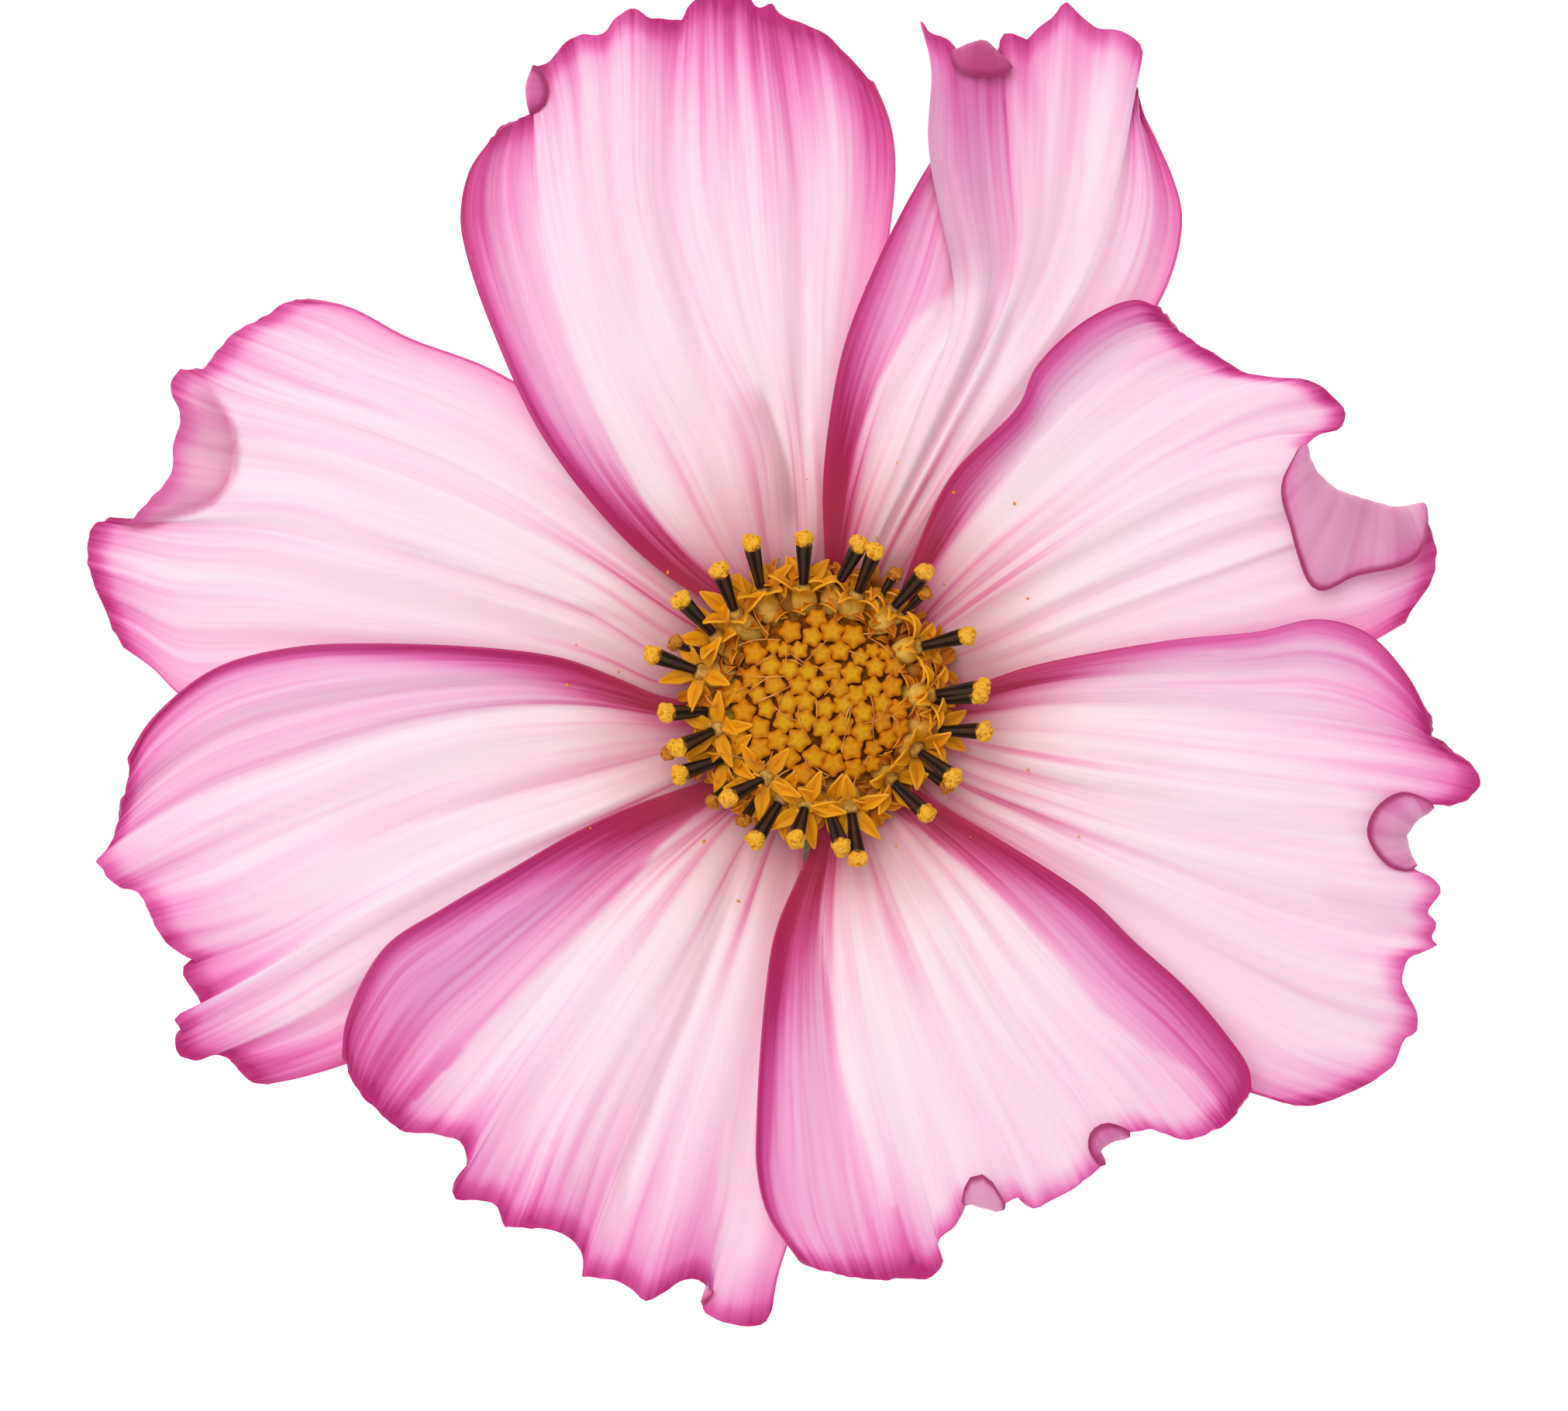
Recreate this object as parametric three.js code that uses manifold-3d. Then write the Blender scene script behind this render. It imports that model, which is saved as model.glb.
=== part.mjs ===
// A cosmos bloom, cut close under its head and lying face up on its spread green bracts.
//
// Millimetres, +Z up. The surface that the bloom lies on is z = 0, and the origin is the middle of
// the bloom's outline on that surface. The bloom's own axis stands a little to one side of it,
// because the petals are not all as long.
//
// From the bottom up: the cut stem that swells into the receptacle, eight narrow outer bracts that
// the bloom stands on, eight broad inner bracts pressed under the petals, eight petals (the ray
// florets), and the disc, where a ring of open florets grows round the closed buds.

import * as THREE from "three";
import { mergeVertices } from "three/addons/utils/BufferGeometryUtils.js";
import Module from "manifold-3d";

const wasm = await Module();
wasm.setup();

// ---- Driving dimensions ----

const AXIS = new THREE.Vector2(2.09, -2.055); // the bloom's axis, from the middle of the outline
const RAYS = 8; // petals, and as many outer and inner bracts
const BLADE = 0.6; // thickness of every petal and bract

const STEM_RADIUS = 1.15;
const STEM_LENGTH = 2.0;
const CUP_RADIUS = 4.5; // receptacle at its rim
const CUP_RIM_Z = 8.2;
const CUP_TOP_Z = 10.4; // the florets stand on its flat top

const CLAW_RADIUS = 4.9; // where a petal's narrow foot stands on the receptacle
const CLAW_HALF_WIDTH = 1.45;
const CLAW_Z = 9.2;
const CREST_RADIUS = 26; // the petals rise to here and droop beyond it
const CREST_RISE = 2.8;
const TIP_DROOP = 1.6;
const DROOP_REACH = 16;
const LIFT_START = 1.2; // a petal's folds open by most of their height this far from its foot
const LIFT_REACH = 12; // and fully this far
const PLEAT_DEPTH = 0.16;
const PLEATS = 7;
const RUFFLE_DEPTH = 0.45;
const RUFFLES = 5;

const DISC_RADIUS = 4.75;
const DISC_FOOT_RADIUS = 4.3;
const DISC_FOOT_Z = 10.7;
const DISC_TOP_Z = 12.6;
const DISC_DOME = 0.9; // how far the middle of the disc stands above its rim
const BUDS = 62;
const BUD_PITCH = 0.585;
const BUD_POINT = 0.5; // radius of a bud's five points
const BUD_NOTCH = 0.36; // and of the notches between them
const BUD_HEIGHT = 0.75;
const BUD_ROOT = 0.45; // how far a bud is sunk into the disc

const ROOT_RADIUS = 4.5; // where an open floret's tube leaves the disc
const ROOT_Z = 11.1;
const TUBE_FOOT = 0.36;
const TUBE_MOUTH = 0.46;
const FACE_Z = 12.5; // height of the throat, where the lobes spread
const FACE_STEP = 0.2; // by turns higher and lower, so that they pass each other
const CUP_DEPTH = 0.5;
const FLORET_TURN = 0.4; // each floret is turned this much further about its own axis
const LOBES = 5;
const LOBE_REACH = 1.9; // from the floret's own axis to the point of a lobe
const LOBE_RISE = 0.55; // height of that point over the throat
const LOBE_NOTCH = 0.62;
const ANTHER_RADIUS = 0.34;
const POLLEN_REACH = 3.3; // from the throat to the middle of the pollen
const POLLEN_RADIUS = 0.54;
const MOST_LEAN = 0.92; // sine of the flattest floret's lean
const SPENT_Z = 11.9;

const SMALLEST_EDGE = 0.03;
const GOLDEN_ANGLE = Math.PI * (3 - Math.sqrt(5));
const DEGREE = Math.PI / 180;

// ---- Solids ----

// A geometry's closed surface as a solid that can be joined to others.
function solidOf(geometry) {
  const bare = geometry.clone();
  bare.deleteAttribute("normal");
  bare.deleteAttribute("uv");
  const merged = mergeVertices(bare, 1e-4);
  return new wasm.Manifold(
    new wasm.Mesh({
      numProp: 3,
      vertProperties: new Float32Array(merged.attributes.position.array),
      triVerts: new Uint32Array(merged.index.array),
    }),
  );
}

// The largest body of a solid, as a geometry.
function geometryOf(solid) {
  const bodies = solid.simplify(SMALLEST_EDGE).decompose().sort((a, b) => b.volume() - a.volume());
  const mesh = bodies[0].getMesh();
  const corners = new Float32Array(mesh.triVerts.length * 3);
  mesh.triVerts.forEach((vertex, corner) => {
    for (let axis = 0; axis < 3; axis += 1) {
      corners[corner * 3 + axis] = mesh.vertProperties[vertex * mesh.numProp + axis];
    }
  });
  const geometry = new THREE.BufferGeometry();
  geometry.setAttribute("position", new THREE.BufferAttribute(corners, 3));
  const indexed = mergeVertices(geometry, 1e-5);
  indexed.computeVertexNormals();
  return indexed;
}

function joined(geometries) {
  const solids = geometries.map(solidOf);
  return geometryOf(solids.reduce((whole, piece) => whole.add(piece)));
}

// A closed blade from the rows of points on its middle surface. Both faces are split alike.
function bladeGeometry(rows, thickness = BLADE) {
  const last = rows.length - 1;
  const lastColumn = rows[0].length - 1;
  const width = lastColumn + 1;
  const positions = [];
  const faces = [];
  const half = thickness / 2;
  for (const side of [1, -1]) {
    rows.forEach((row, i) =>
      row.forEach((point, j) => {
        const along = rows[Math.min(i + 1, last)][j].clone().sub(rows[Math.max(i - 1, 0)][j]);
        const across = row[Math.min(j + 1, lastColumn)].clone().sub(row[Math.max(j - 1, 0)]);
        const normal = across.cross(along).normalize();
        positions.push(...point.clone().addScaledVector(normal, side * half).toArray());
      }),
    );
  }
  const at = (side, i, j) => side * (last + 1) * width + i * width + j;
  for (let i = 0; i < last; i += 1) {
    for (let j = 0; j < lastColumn; j += 1) {
      const [a, b, c, d] = [at(0, i, j), at(0, i, j + 1), at(0, i + 1, j + 1), at(0, i + 1, j)];
      const [e, f, g, h] = [at(1, i, j), at(1, i, j + 1), at(1, i + 1, j + 1), at(1, i + 1, j)];
      faces.push(a, b, c, a, c, d, e, g, f, e, h, g);
    }
  }
  const wall = (a, b, e, f) => faces.push(a, e, f, a, f, b);
  for (let j = 0; j < lastColumn; j += 1) {
    wall(at(0, 0, j), at(0, 0, j + 1), at(1, 0, j), at(1, 0, j + 1));
    wall(at(0, last, j + 1), at(0, last, j), at(1, last, j + 1), at(1, last, j));
  }
  for (let i = 0; i < last; i += 1) {
    wall(at(0, i + 1, 0), at(0, i, 0), at(1, i + 1, 0), at(1, i, 0));
    wall(at(0, i, lastColumn), at(0, i + 1, lastColumn), at(1, i, lastColumn), at(1, i + 1, lastColumn));
  }
  const geometry = new THREE.BufferGeometry();
  geometry.setAttribute("position", new THREE.Float32BufferAttribute(positions, 3));
  geometry.setIndex(faces);
  geometry.computeVertexNormals();
  return geometry;
}

// A solid turned about the bloom's axis from its outline of radii and heights.
function turned(outline, segments) {
  return new THREE.LatheGeometry(outline, segments).rotateX(Math.PI / 2);
}

function material(colour, roughness) {
  return new THREE.MeshStandardMaterial({ color: colour, roughness, metalness: 0 });
}

const petalPink = material(0xf3c6de, 0.6);
const bractGreen = material(0x5f7d3a, 0.65);
const bractPale = material(0x9a9a5c, 0.6);
const stemGreen = material(0x6f8f45, 0.6);
const discGold = material(0xd9950f, 0.7);

const bloom = new THREE.Group();
bloom.position.set(AXIS.x, AXIS.y, 0);

function place(name, geometry, look) {
  const mesh = new THREE.Mesh(geometry, look);
  mesh.name = name;
  bloom.add(mesh);
  return mesh;
}

// ---- Stem and receptacle: one piece, the stem's swollen end ----

function receptacle() {
  const profile = new THREE.SplineCurve([
    new THREE.Vector2(STEM_RADIUS, STEM_LENGTH),
    new THREE.Vector2(2.0, 3.4),
    new THREE.Vector2(3.4, 5.3),
    new THREE.Vector2(CUP_RADIUS, CUP_RIM_Z),
  ]).getPoints(5);
  const outline = [
    new THREE.Vector2(0, 0),
    new THREE.Vector2(STEM_RADIUS, 0),
    ...profile,
    new THREE.Vector2(CUP_RADIUS, CUP_TOP_Z),
    new THREE.Vector2(0, CUP_TOP_Z),
  ];
  place("stem_and_receptacle", turned(outline, 16), stemGreen);
}

// ---- Bracts: two whorls under the petals ----

// A bract's blade: radius and height along its middle line, and its half width there.
function bractRows(line, halfWidths, curl, columns) {
  const curve = new THREE.SplineCurve(line);
  const steps = halfWidths.length - 1;
  return halfWidths.map((half, i) => {
    const point = curve.getPoint(i / steps);
    const row = [];
    for (let j = 0; j <= columns; j += 1) {
      const side = (2 * j) / columns - 1;
      row.push(new THREE.Vector3(point.x, side * half, point.y + curl * half * side * side));
    }
    return row;
  });
}

function outerBracts() {
  const line = [
    new THREE.Vector2(2.35, 2.95),
    new THREE.Vector2(4.6, 3.35),
    new THREE.Vector2(7.4, 2.3),
    new THREE.Vector2(9.8, 0.46),
    new THREE.Vector2(10.8, 0.31),
  ];
  const halfWidths = [0.75, 1.15, 1.35, 1.3, 1.1, 0.8, 0.3];
  const geometry = bladeGeometry(bractRows(line, halfWidths, 0, 2));
  for (let i = 0; i < RAYS; i += 1) {
    place(`outer_bract_${i + 1}`, geometry, bractGreen).rotation.z = (i * 2 * Math.PI) / RAYS;
  }
}

function innerBracts() {
  const line = [
    new THREE.Vector2(4.35, 5.9),
    new THREE.Vector2(5.3, 7.1),
    new THREE.Vector2(7.0, 8.1),
    new THREE.Vector2(9.4, 8.7),
  ];
  const halfWidths = [1.3, 1.75, 2.0, 1.95, 1.6, 0.7];
  const geometry = bladeGeometry(bractRows(line, halfWidths, -0.12, 4));
  for (let i = 0; i < RAYS; i += 1) {
    const turn = ((i + 0.5) * 2 * Math.PI) / RAYS;
    place(`inner_bract_${i + 1}`, geometry, bractPale).rotation.z = turn;
  }
}

// ---- Petals ----
//
// A petal is laid on its main ribs, which run from its foot to its toothed end. Points are x, y
// from the bloom's axis. `at` is the rib's place across the petal, from 0 at the margin on its
// counter-clockwise side to 1 at the other, and `lift` its height over the bloom's dome: a margin
// that lies over its neighbour is lifted, one that lies under it is sunk, and a fold between them
// is a rib too. `ends[i]` holds the toothed end's points between rib i and the next one.
// A flap is a stretch of the toothed end, from one of its points to another, that is rolled up and
// back over the petal as far as its own free margin.

const PETALS = [
  {
    name: "petal_top",
    foot: 112.5,
    ribs: [
      { at: 0, lift: 1.6, line: [
        [-8.4, 6.7], [-12, 9.9], [-15.9, 15], [-18.3, 20], [-20.1, 25], [-20.5, 27.4], [-20, 30],
        [-18.8, 31.8],
      ] },
      { at: 0.2, lift: 0.1, line: [
        [-6.1, 7.2], [-10.4, 12.5], [-12.6, 17.2], [-15.1, 23.8], [-16.1, 29.5], [-15.8, 33.7],
      ] },
      { at: 0.55, lift: 0.3, line: [
        [-2.5, 8.4], [-3.3, 15], [-6.3, 21.5], [-8.3, 28], [-8.3, 33.5], [-7.9, 38.8],
      ] },
      { at: 0.82, lift: 0.2, line: [[-0.4, 8.9], [-0.8, 16], [-1.1, 24], [-1.1, 30], [-2.4, 39.2]] },
      { at: 1, lift: -0.75, line: [
        [1.4, 9], [1.9, 14], [2.9, 20], [3.8, 25], [4.35, 30.5], [4, 33], [3, 35.2],
      ] },
    ],
    ends: [
      [[-17.6, 32.8], [-16.5, 33.4]],
      [
        [-16.2, 34.9], [-16.3, 36], [-15.3, 36.5], [-14.5, 37.5], [-13.6, 38], [-12.5, 38],
        [-11.4, 39.1], [-10.6, 39.4], [-9.7, 38.9],
      ],
      [[-7.4, 39.7], [-6.4, 40.2], [-5.1, 40.1], [-4.2, 40.3], [-3.5, 39.5], [-2.7, 39.7]],
      [[-1.3, 38.7], [0.1, 38.1], [1.2, 37.2], [2.2, 36.2]],
    ],
    flaps: [],
  },
  {
    name: "petal_upper_right",
    foot: 67.5,
    ribs: [
      { at: 0, lift: 1.0, line: [
        [0.3, 8.6], [0.2, 12], [0.6, 16], [1.4, 20], [3.1, 24.4], [5.1, 28.4], [7, 31.6],
        [7.9, 33],
      ] },
      { at: 0.28, lift: -0.1, line: [
        [2.1, 8.8], [3.6, 13], [5.7, 17.6], [8.2, 21.6], [9.3, 25], [9.5, 30], [9.1, 35.6],
      ] },
      { at: 0.4, lift: 1.7, line: [
        [2.8, 8.7], [4.6, 13], [6.3, 17.6], [7.5, 21.2], [7.6, 23.6], [6.6, 28], [6, 32],
        [6.3, 36], [5.75, 38.6],
      ] },
      { at: 0.78, lift: 0.5, line: [
        [4.9, 8.2], [8.9, 14.4], [12.7, 19.6], [15.4, 24.2], [17, 29], [17.7, 33], [18, 35.1],
      ] },
      { at: 1, lift: -0.7, line: [
        [6.7, 8.2], [10.4, 12.4], [14.6, 16.9], [18.5, 21], [20.3, 24.5], [20.8, 27.6],
        [20, 30.6], [18.6, 33.2],
      ] },
    ],
    ends: [
      [],
      [],
      [
        [7.4, 37.5], [7.7, 36.9], [8.6, 37.3], [9.5, 37.4], [10.2, 37], [10.5, 37.9], [12, 37.7],
        [12.7, 38.5], [13.4, 39], [14, 39.7], [15, 39], [15.9, 38.2], [17.4, 37.9], [18.4, 37.1],
        [18.4, 36],
      ],
      [],
    ],
    flaps: [],
  },
  {
    name: "petal_right_upper",
    foot: 22.5,
    ribs: [
      { at: 0, lift: 1.7, line: [
        [5.4, 7.9], [7.5, 12.5], [11.4, 16.6], [12.4, 18.8], [15.3, 21.5], [18, 22.6],
        [19.3, 22.2],
      ] },
      { at: 0.17, lift: 0.15, line: [[6.7, 6.9], [10.4, 11.6], [14.4, 16], [18, 19], [21.3, 20.4]] },
      { at: 0.45, lift: 0.7, line: [[8.3, 4.9], [14, 8.8], [20, 12.4], [24.5, 14], [27.7, 14.2]] },
      { at: 0.8, lift: 0.1, line: [[8.8, 1.7], [16, 4.4], [24, 7.2], [30, 9.4], [34.6, 10.8]] },
      { at: 1, lift: -0.75, line: [
        [8.4, -0.3], [13, 0.3], [20, 1.5], [26, 2], [30, 2.4], [33.6, 4.3],
      ] },
    ],
    ends: [
      [[20.4, 21]],
      [
        [22.6, 19.6], [24, 18.7], [25.6, 18.3], [27.8, 18.1], [29.3, 17.2], [30.1, 16.2],
        [29.8, 15.3], [28.6, 15],
      ],
      [[27.8, 12.8], [29.2, 11.3], [31, 10.7], [33, 10.2]],
      [[35, 9.8], [35.4, 8], [34.9, 6.2], [34.1, 5.1]],
    ],
    flaps: [{ end: 2, margin: [
      [26.4, 11.7], [26.7, 10.1], [28.3, 6.1], [30.5, 6.8], [33.9, 7.8], [34.6, 9.5],
    ] }],
  },
  {
    name: "petal_right",
    foot: -22.5,
    ribs: [
      { at: 0, lift: 1.2, line: [
        [8.8, 0.6], [12, 1.7], [20, 3.2], [25, 3.7], [28.5, 4.4], [31.3, 3.6], [33.6, 1.2],
        [34.8, -1],
      ] },
      { at: 0.22, lift: 0, line: [
        [8.9, -1.1], [14, -0.6], [22, -0.9], [29, -1.5], [33, -2.2], [36, -3.1],
      ] },
      { at: 0.4, lift: 0.75, line: [[8.8, -2.7], [16, -4], [24, -5], [30, -5.6], [35, -6.2]] },
      { at: 0.55, lift: 0.35, line: [[8.4, -3.9], [16, -6.4], [24, -8.4], [30, -9.5], [34, -9.8]] },
      { at: 1, lift: -0.75, line: [
        [5.9, -7.1], [9.5, -9.9], [13, -13], [16.5, -16.4], [20, -19.8], [23, -22], [26.6, -23.3],
      ] },
    ],
    ends: [
      [[35.1, -2.3]],
      [[37.4, -3.9], [37.9, -5], [37.2, -5.8], [36.2, -6.2]],
      [[33.6, -7], [33.15, -8], [33.4, -9.1]],
      [
        [35.6, -11], [34.8, -12.4], [35.4, -13], [35.1, -13.9], [35.5, -14.3], [33.9, -14.9],
        [33.4, -16.2], [34.4, -18.6], [34.3, -19.3], [33.6, -19.7], [33, -21.1], [31.6, -22.2],
        [30.1, -22.9], [28.3, -23.5],
      ],
    ],
    flaps: [{ end: 2, margin: [[33.2, -5.5], [31.8, -6.4], [31.3, -7.8], [32.3, -9.5], [33.2, -9.9]] }],
  },
  {
    name: "petal_lower_right",
    foot: -67.5,
    ribs: [
      { at: 0, lift: 1.5, line: [
        [6.4, -5.9], [10, -8], [15.3, -11.4], [18, -14], [21, -16.7], [23, -19], [24.5, -21.2],
        [24.7, -22.5],
      ] },
      { at: 0.2, lift: 0.1, line: [
        [5.6, -7], [9.4, -10.6], [12.4, -14.2], [15.4, -17.4], [18.6, -20.2], [22.8, -24.8],
      ] },
      { at: 0.48, lift: 0.6, line: [[3.6, -8], [7, -14], [10.6, -20.4], [13.4, -25], [14.9, -27.9]] },
      { at: 0.78, lift: 0.1, line: [[1, -8.7], [0.9, -14], [1.7, -21], [3, -26.6], [4.6, -33.3]] },
      { at: 1, lift: 1.3, line: [
        [-0.4, -8.6], [-2.4, -13.4], [-3, -17], [-3.5, -24], [-3.5, -27], [-2.9, -29.5],
        [-1.2, -32],
      ] },
    ],
    ends: [
      [[24.2, -23.1], [23.6, -24.2]],
      [[20.8, -25.4], [19.2, -24.8], [17.6, -25], [16.4, -25.2], [15.8, -25.9], [16.1, -26.8]],
      [
        [12.2, -29.3], [11.5, -28.6], [10.3, -29.1], [9.6, -28.8], [8.4, -28.8], [7.9, -30.2],
        [6.8, -31.2], [7.1, -32.5], [6.3, -33.3],
      ],
      [[3, -33.4], [1, -33], [-0.2, -32.7]],
    ],
    flaps: [],
  },
  {
    name: "petal_lower_left",
    foot: -112.5,
    ribs: [
      { at: 0, lift: -0.75, line: [
        [-0.9, -8.7], [-1, -14], [-1.4, -20], [-1.6, -26], [-1.5, -30], [-2.4, -33.4],
        [-2.7, -35.2],
      ] },
      { at: 0.3, lift: 0.25, line: [
        [-3.2, -8.3], [-5.4, -13.4], [-8, -19.6], [-10.6, -25.6], [-12.2, -29.6], [-13.6, -33.3],
      ] },
      { at: 0.52, lift: 0.65, line: [
        [-4.9, -7.6], [-8.4, -13], [-12.4, -19], [-15.6, -24.4], [-18, -30.4],
      ] },
      { at: 0.72, lift: 0.15, line: [
        [-6, -6.9], [-10.5, -10.4], [-14.2, -14.2], [-18, -18.6], [-21.6, -22.6], [-23.8, -25],
      ] },
      { at: 1, lift: 1.4, line: [
        [-7.4, -5.2], [-10.5, -6.3], [-14, -7.9], [-17.5, -9.9], [-21.5, -12.2], [-24.8, -14.4],
        [-26.9, -18.4], [-27.1, -20.4],
      ] },
    ],
    ends: [
      [
        [-3.2, -36], [-5, -36], [-6.7, -35.2], [-6.1, -34.3], [-7.3, -33.3], [-8.8, -34.1],
        [-9.9, -34.6], [-11.4, -33.5],
      ],
      [[-13.6, -31.9], [-15, -30.6]],
      [[-18.6, -29.1], [-20.9, -28.6], [-20.2, -26.8], [-20.4, -25.6], [-21.8, -25.1]],
      [[-25.1, -23.9], [-26.7, -22]],
    ],
    flaps: [],
  },
  {
    name: "petal_left_lower",
    foot: -157.5,
    ribs: [
      { at: 0, lift: -0.75, line: [
        [-6.4, -6.3], [-10, -8.7], [-14, -11.4], [-18, -14.5], [-22, -17.9], [-26, -20.6],
        [-29.6, -21.9], [-32.3, -22.2],
      ] },
      { at: 0.32, lift: 0.5, line: [
        [-7.9, -4.3], [-14, -7], [-20, -9.4], [-27, -12.8], [-32, -15.6], [-35.6, -17.8],
      ] },
      { at: 0.45, lift: 0.1, line: [
        [-8.4, -3.2], [-14, -4.8], [-20, -6.4], [-27, -9.4], [-33, -12.2], [-38, -13.3],
      ] },
      { at: 0.66, lift: 0.2, line: [
        [-8.8, -1.3], [-13, -0.9], [-18, -1], [-24, -2.1], [-30, -4.1], [-36, -6.4],
        [-41.5, -9.5],
      ] },
      { at: 1, lift: 1.4, line: [
        [-9, -0.1], [-11.5, 0.9], [-14.5, 2], [-18, 2.55], [-25, 2.9], [-30, 2.7], [-34.5, 1.5],
        [-38, -1.3], [-39.4, -3.6],
      ] },
    ],
    ends: [
      [
        [-33.4, -21.1], [-34.4, -20.6], [-36.1, -20.9], [-37, -19.8], [-36.6, -19.4],
        [-37, -18.5], [-36.2, -18.2],
      ],
      [[-36.6, -16], [-35.7, -15.3], [-37.2, -14.4]],
      [[-39.1, -11.3], [-40.3, -10.9]],
      [[-40.6, -8.3], [-40, -6.6], [-39.6, -4.8]],
    ],
    flaps: [],
  },
  {
    name: "petal_left_upper",
    foot: 157.5,
    ribs: [
      { at: 0, lift: -0.8, line: [
        [-8.8, -1.2], [-12, -0.5], [-17, 0.1], [-23, 0.2], [-30, -0.1], [-36, -0.3], [-38.4, 1.7],
        [-40, 2.8],
      ] },
      { at: 0.42, lift: 0.45, line: [
        [-8.9, 2.4], [-13, 4.8], [-18, 6.7], [-25, 8.7], [-31, 10.2], [-39.5, 9.9],
      ] },
      { at: 0.7, lift: 0.1, line: [
        [-8, 4.9], [-14, 9], [-21, 13], [-28, 15.6], [-34, 17.4], [-36.7, 18.8],
      ] },
      { at: 1, lift: -0.75, line: [
        [-6, 7.3], [-9.5, 11], [-12.5, 14.2], [-15.3, 16.6], [-19, 18.8], [-23.5, 20.5],
        [-27, 22.3], [-29.4, 22.7],
      ] },
    ],
    ends: [
      [[-40.9, 4.6], [-42, 7.8], [-41.6, 9.9]],
      [[-38.6, 11], [-37.3, 12.6], [-37, 14.6], [-36.6, 16], [-37.2, 17.9]],
      [[-35.4, 18.8], [-34, 20.5], [-31.9, 21.8], [-30.6, 22.6]],
    ],
    flaps: [],
  },
];

const ROWS = 8;
const COLUMNS = 22;

const plan = (points) => points.map(([x, y]) => new THREE.Vector3(x, y, 0));
const smooth = (t) => t * t * (3 - 2 * t);
const clamp = (t) => Math.min(Math.max(t, 0), 1);

// The height of the bloom's dome at a distance from its axis.
function domeHeight(radius) {
  if (radius > CREST_RADIUS) {
    return CLAW_Z + CREST_RISE - TIP_DROOP * ((radius - CREST_RADIUS) / DROOP_REACH) ** 2;
  }
  const fall = (CREST_RADIUS - radius) / (CREST_RADIUS - CLAW_RADIUS);
  return CLAW_Z + CREST_RISE * (1 - fall * fall);
}

function footPoint(petal, at) {
  const turn = petal.foot * DEGREE;
  const side = CLAW_HALF_WIDTH * (1 - 2 * at);
  return new THREE.Vector3(
    CLAW_RADIUS * Math.cos(turn) - side * Math.sin(turn),
    CLAW_RADIUS * Math.sin(turn) + side * Math.cos(turn),
    0,
  );
}

// The petal's ribs and toothed end as curves.
function petalCurves(petal) {
  const ribs = petal.ribs.map(
    (rib) => new THREE.CatmullRomCurve3([footPoint(petal, rib.at), ...plan(rib.line)]),
  );
  const tips = petal.ribs.map((rib) => rib.line[rib.line.length - 1]);
  const ends = petal.ends.map(
    (points, i) => new THREE.CatmullRomCurve3(plan([tips[i], ...points, tips[i + 1]])),
  );
  return { ribs, ends };
}

// A point of a petal's middle surface: u from foot to end, s across the stretch between two ribs.
function petalPoint(petal, curves, stretch, s, u) {
  const [left, right] = [curves.ribs[stretch], curves.ribs[stretch + 1]];
  const between = (a, b) => a.clone().lerp(b, s);
  const point = between(left.getPointAt(u), right.getPointAt(u));
  const chord = between(left.getPointAt(1), right.getPointAt(1));
  const bulge = curves.ends[stretch].getPointAt(s).sub(chord);
  point.addScaledVector(bulge, u ** 1.5);

  const [from, to] = [petal.ribs[stretch], petal.ribs[stretch + 1]];
  const across = from.at + (to.at - from.at) * s;
  const lift = from.lift + (to.lift - from.lift) * s;
  const radius = Math.hypot(point.x, point.y);
  const spread = radius - CLAW_RADIUS;
  const open = 0.65 * smooth(clamp(spread / LIFT_START)) + 0.35 * smooth(clamp(spread / LIFT_REACH));
  const pleats = PLEAT_DEPTH * Math.sin(2 * Math.PI * PLEATS * across) * smooth(clamp(u * 3));
  const ruffle = RUFFLE_DEPTH * Math.sin(2 * Math.PI * RUFFLES * across + petal.foot) * u ** 5;
  point.z = domeHeight(radius) + open * lift + pleats + ruffle * Math.sin(Math.PI * across);
  return point;
}

function petalRows(petal, curves) {
  const rows = [];
  for (let i = 0; i <= ROWS; i += 1) {
    const row = [];
    petal.ends.forEach((_, stretch) => {
      const share = petal.ribs[stretch + 1].at - petal.ribs[stretch].at;
      const steps = Math.max(2, Math.round(COLUMNS * share));
      for (let j = stretch ? 1 : 0; j <= steps; j += 1) {
        row.push(petalPoint(petal, curves, stretch, j / steps, i / ROWS));
      }
    });
    rows.push(row);
  }
  return rows;
}

// A flap springs from the petal's end, rises, and comes back down towards the petal.
const FLAP_RISE = 1.3;
const FLAP_STEPS = 5;
const FLAP_ROOT = 0.04;

function flapRows(petal, curves, flap) {
  const crease = [];
  const columns = 8;
  for (let j = 0; j <= columns; j += 1) {
    crease.push(petalPoint(petal, curves, flap.end, j / columns, 1));
  }
  const [first, last] = [crease[0], crease[columns]];
  const margin = new THREE.CatmullRomCurve3([first, ...plan(flap.margin), last].map(
    (point) => new THREE.Vector3(point.x, point.y, 0),
  ));
  const rows = [];
  for (let i = 0; i <= FLAP_STEPS; i += 1) {
    const t = FLAP_ROOT + (1 - FLAP_ROOT) * (i / FLAP_STEPS);
    rows.push(crease.map((from, j) => {
      const to = margin.getPointAt(0.06 + (0.88 * j) / columns);
      const reach = Math.hypot(to.x - from.x, to.y - from.y);
      const rise = Math.min(FLAP_RISE, reach / 2) * Math.sin(Math.PI * Math.min(t * 1.6, 0.62));
      return new THREE.Vector3(
        from.x + (to.x - from.x) * t,
        from.y + (to.y - from.y) * t,
        from.z + rise,
      );
    }));
  }
  return rows;
}

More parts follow.
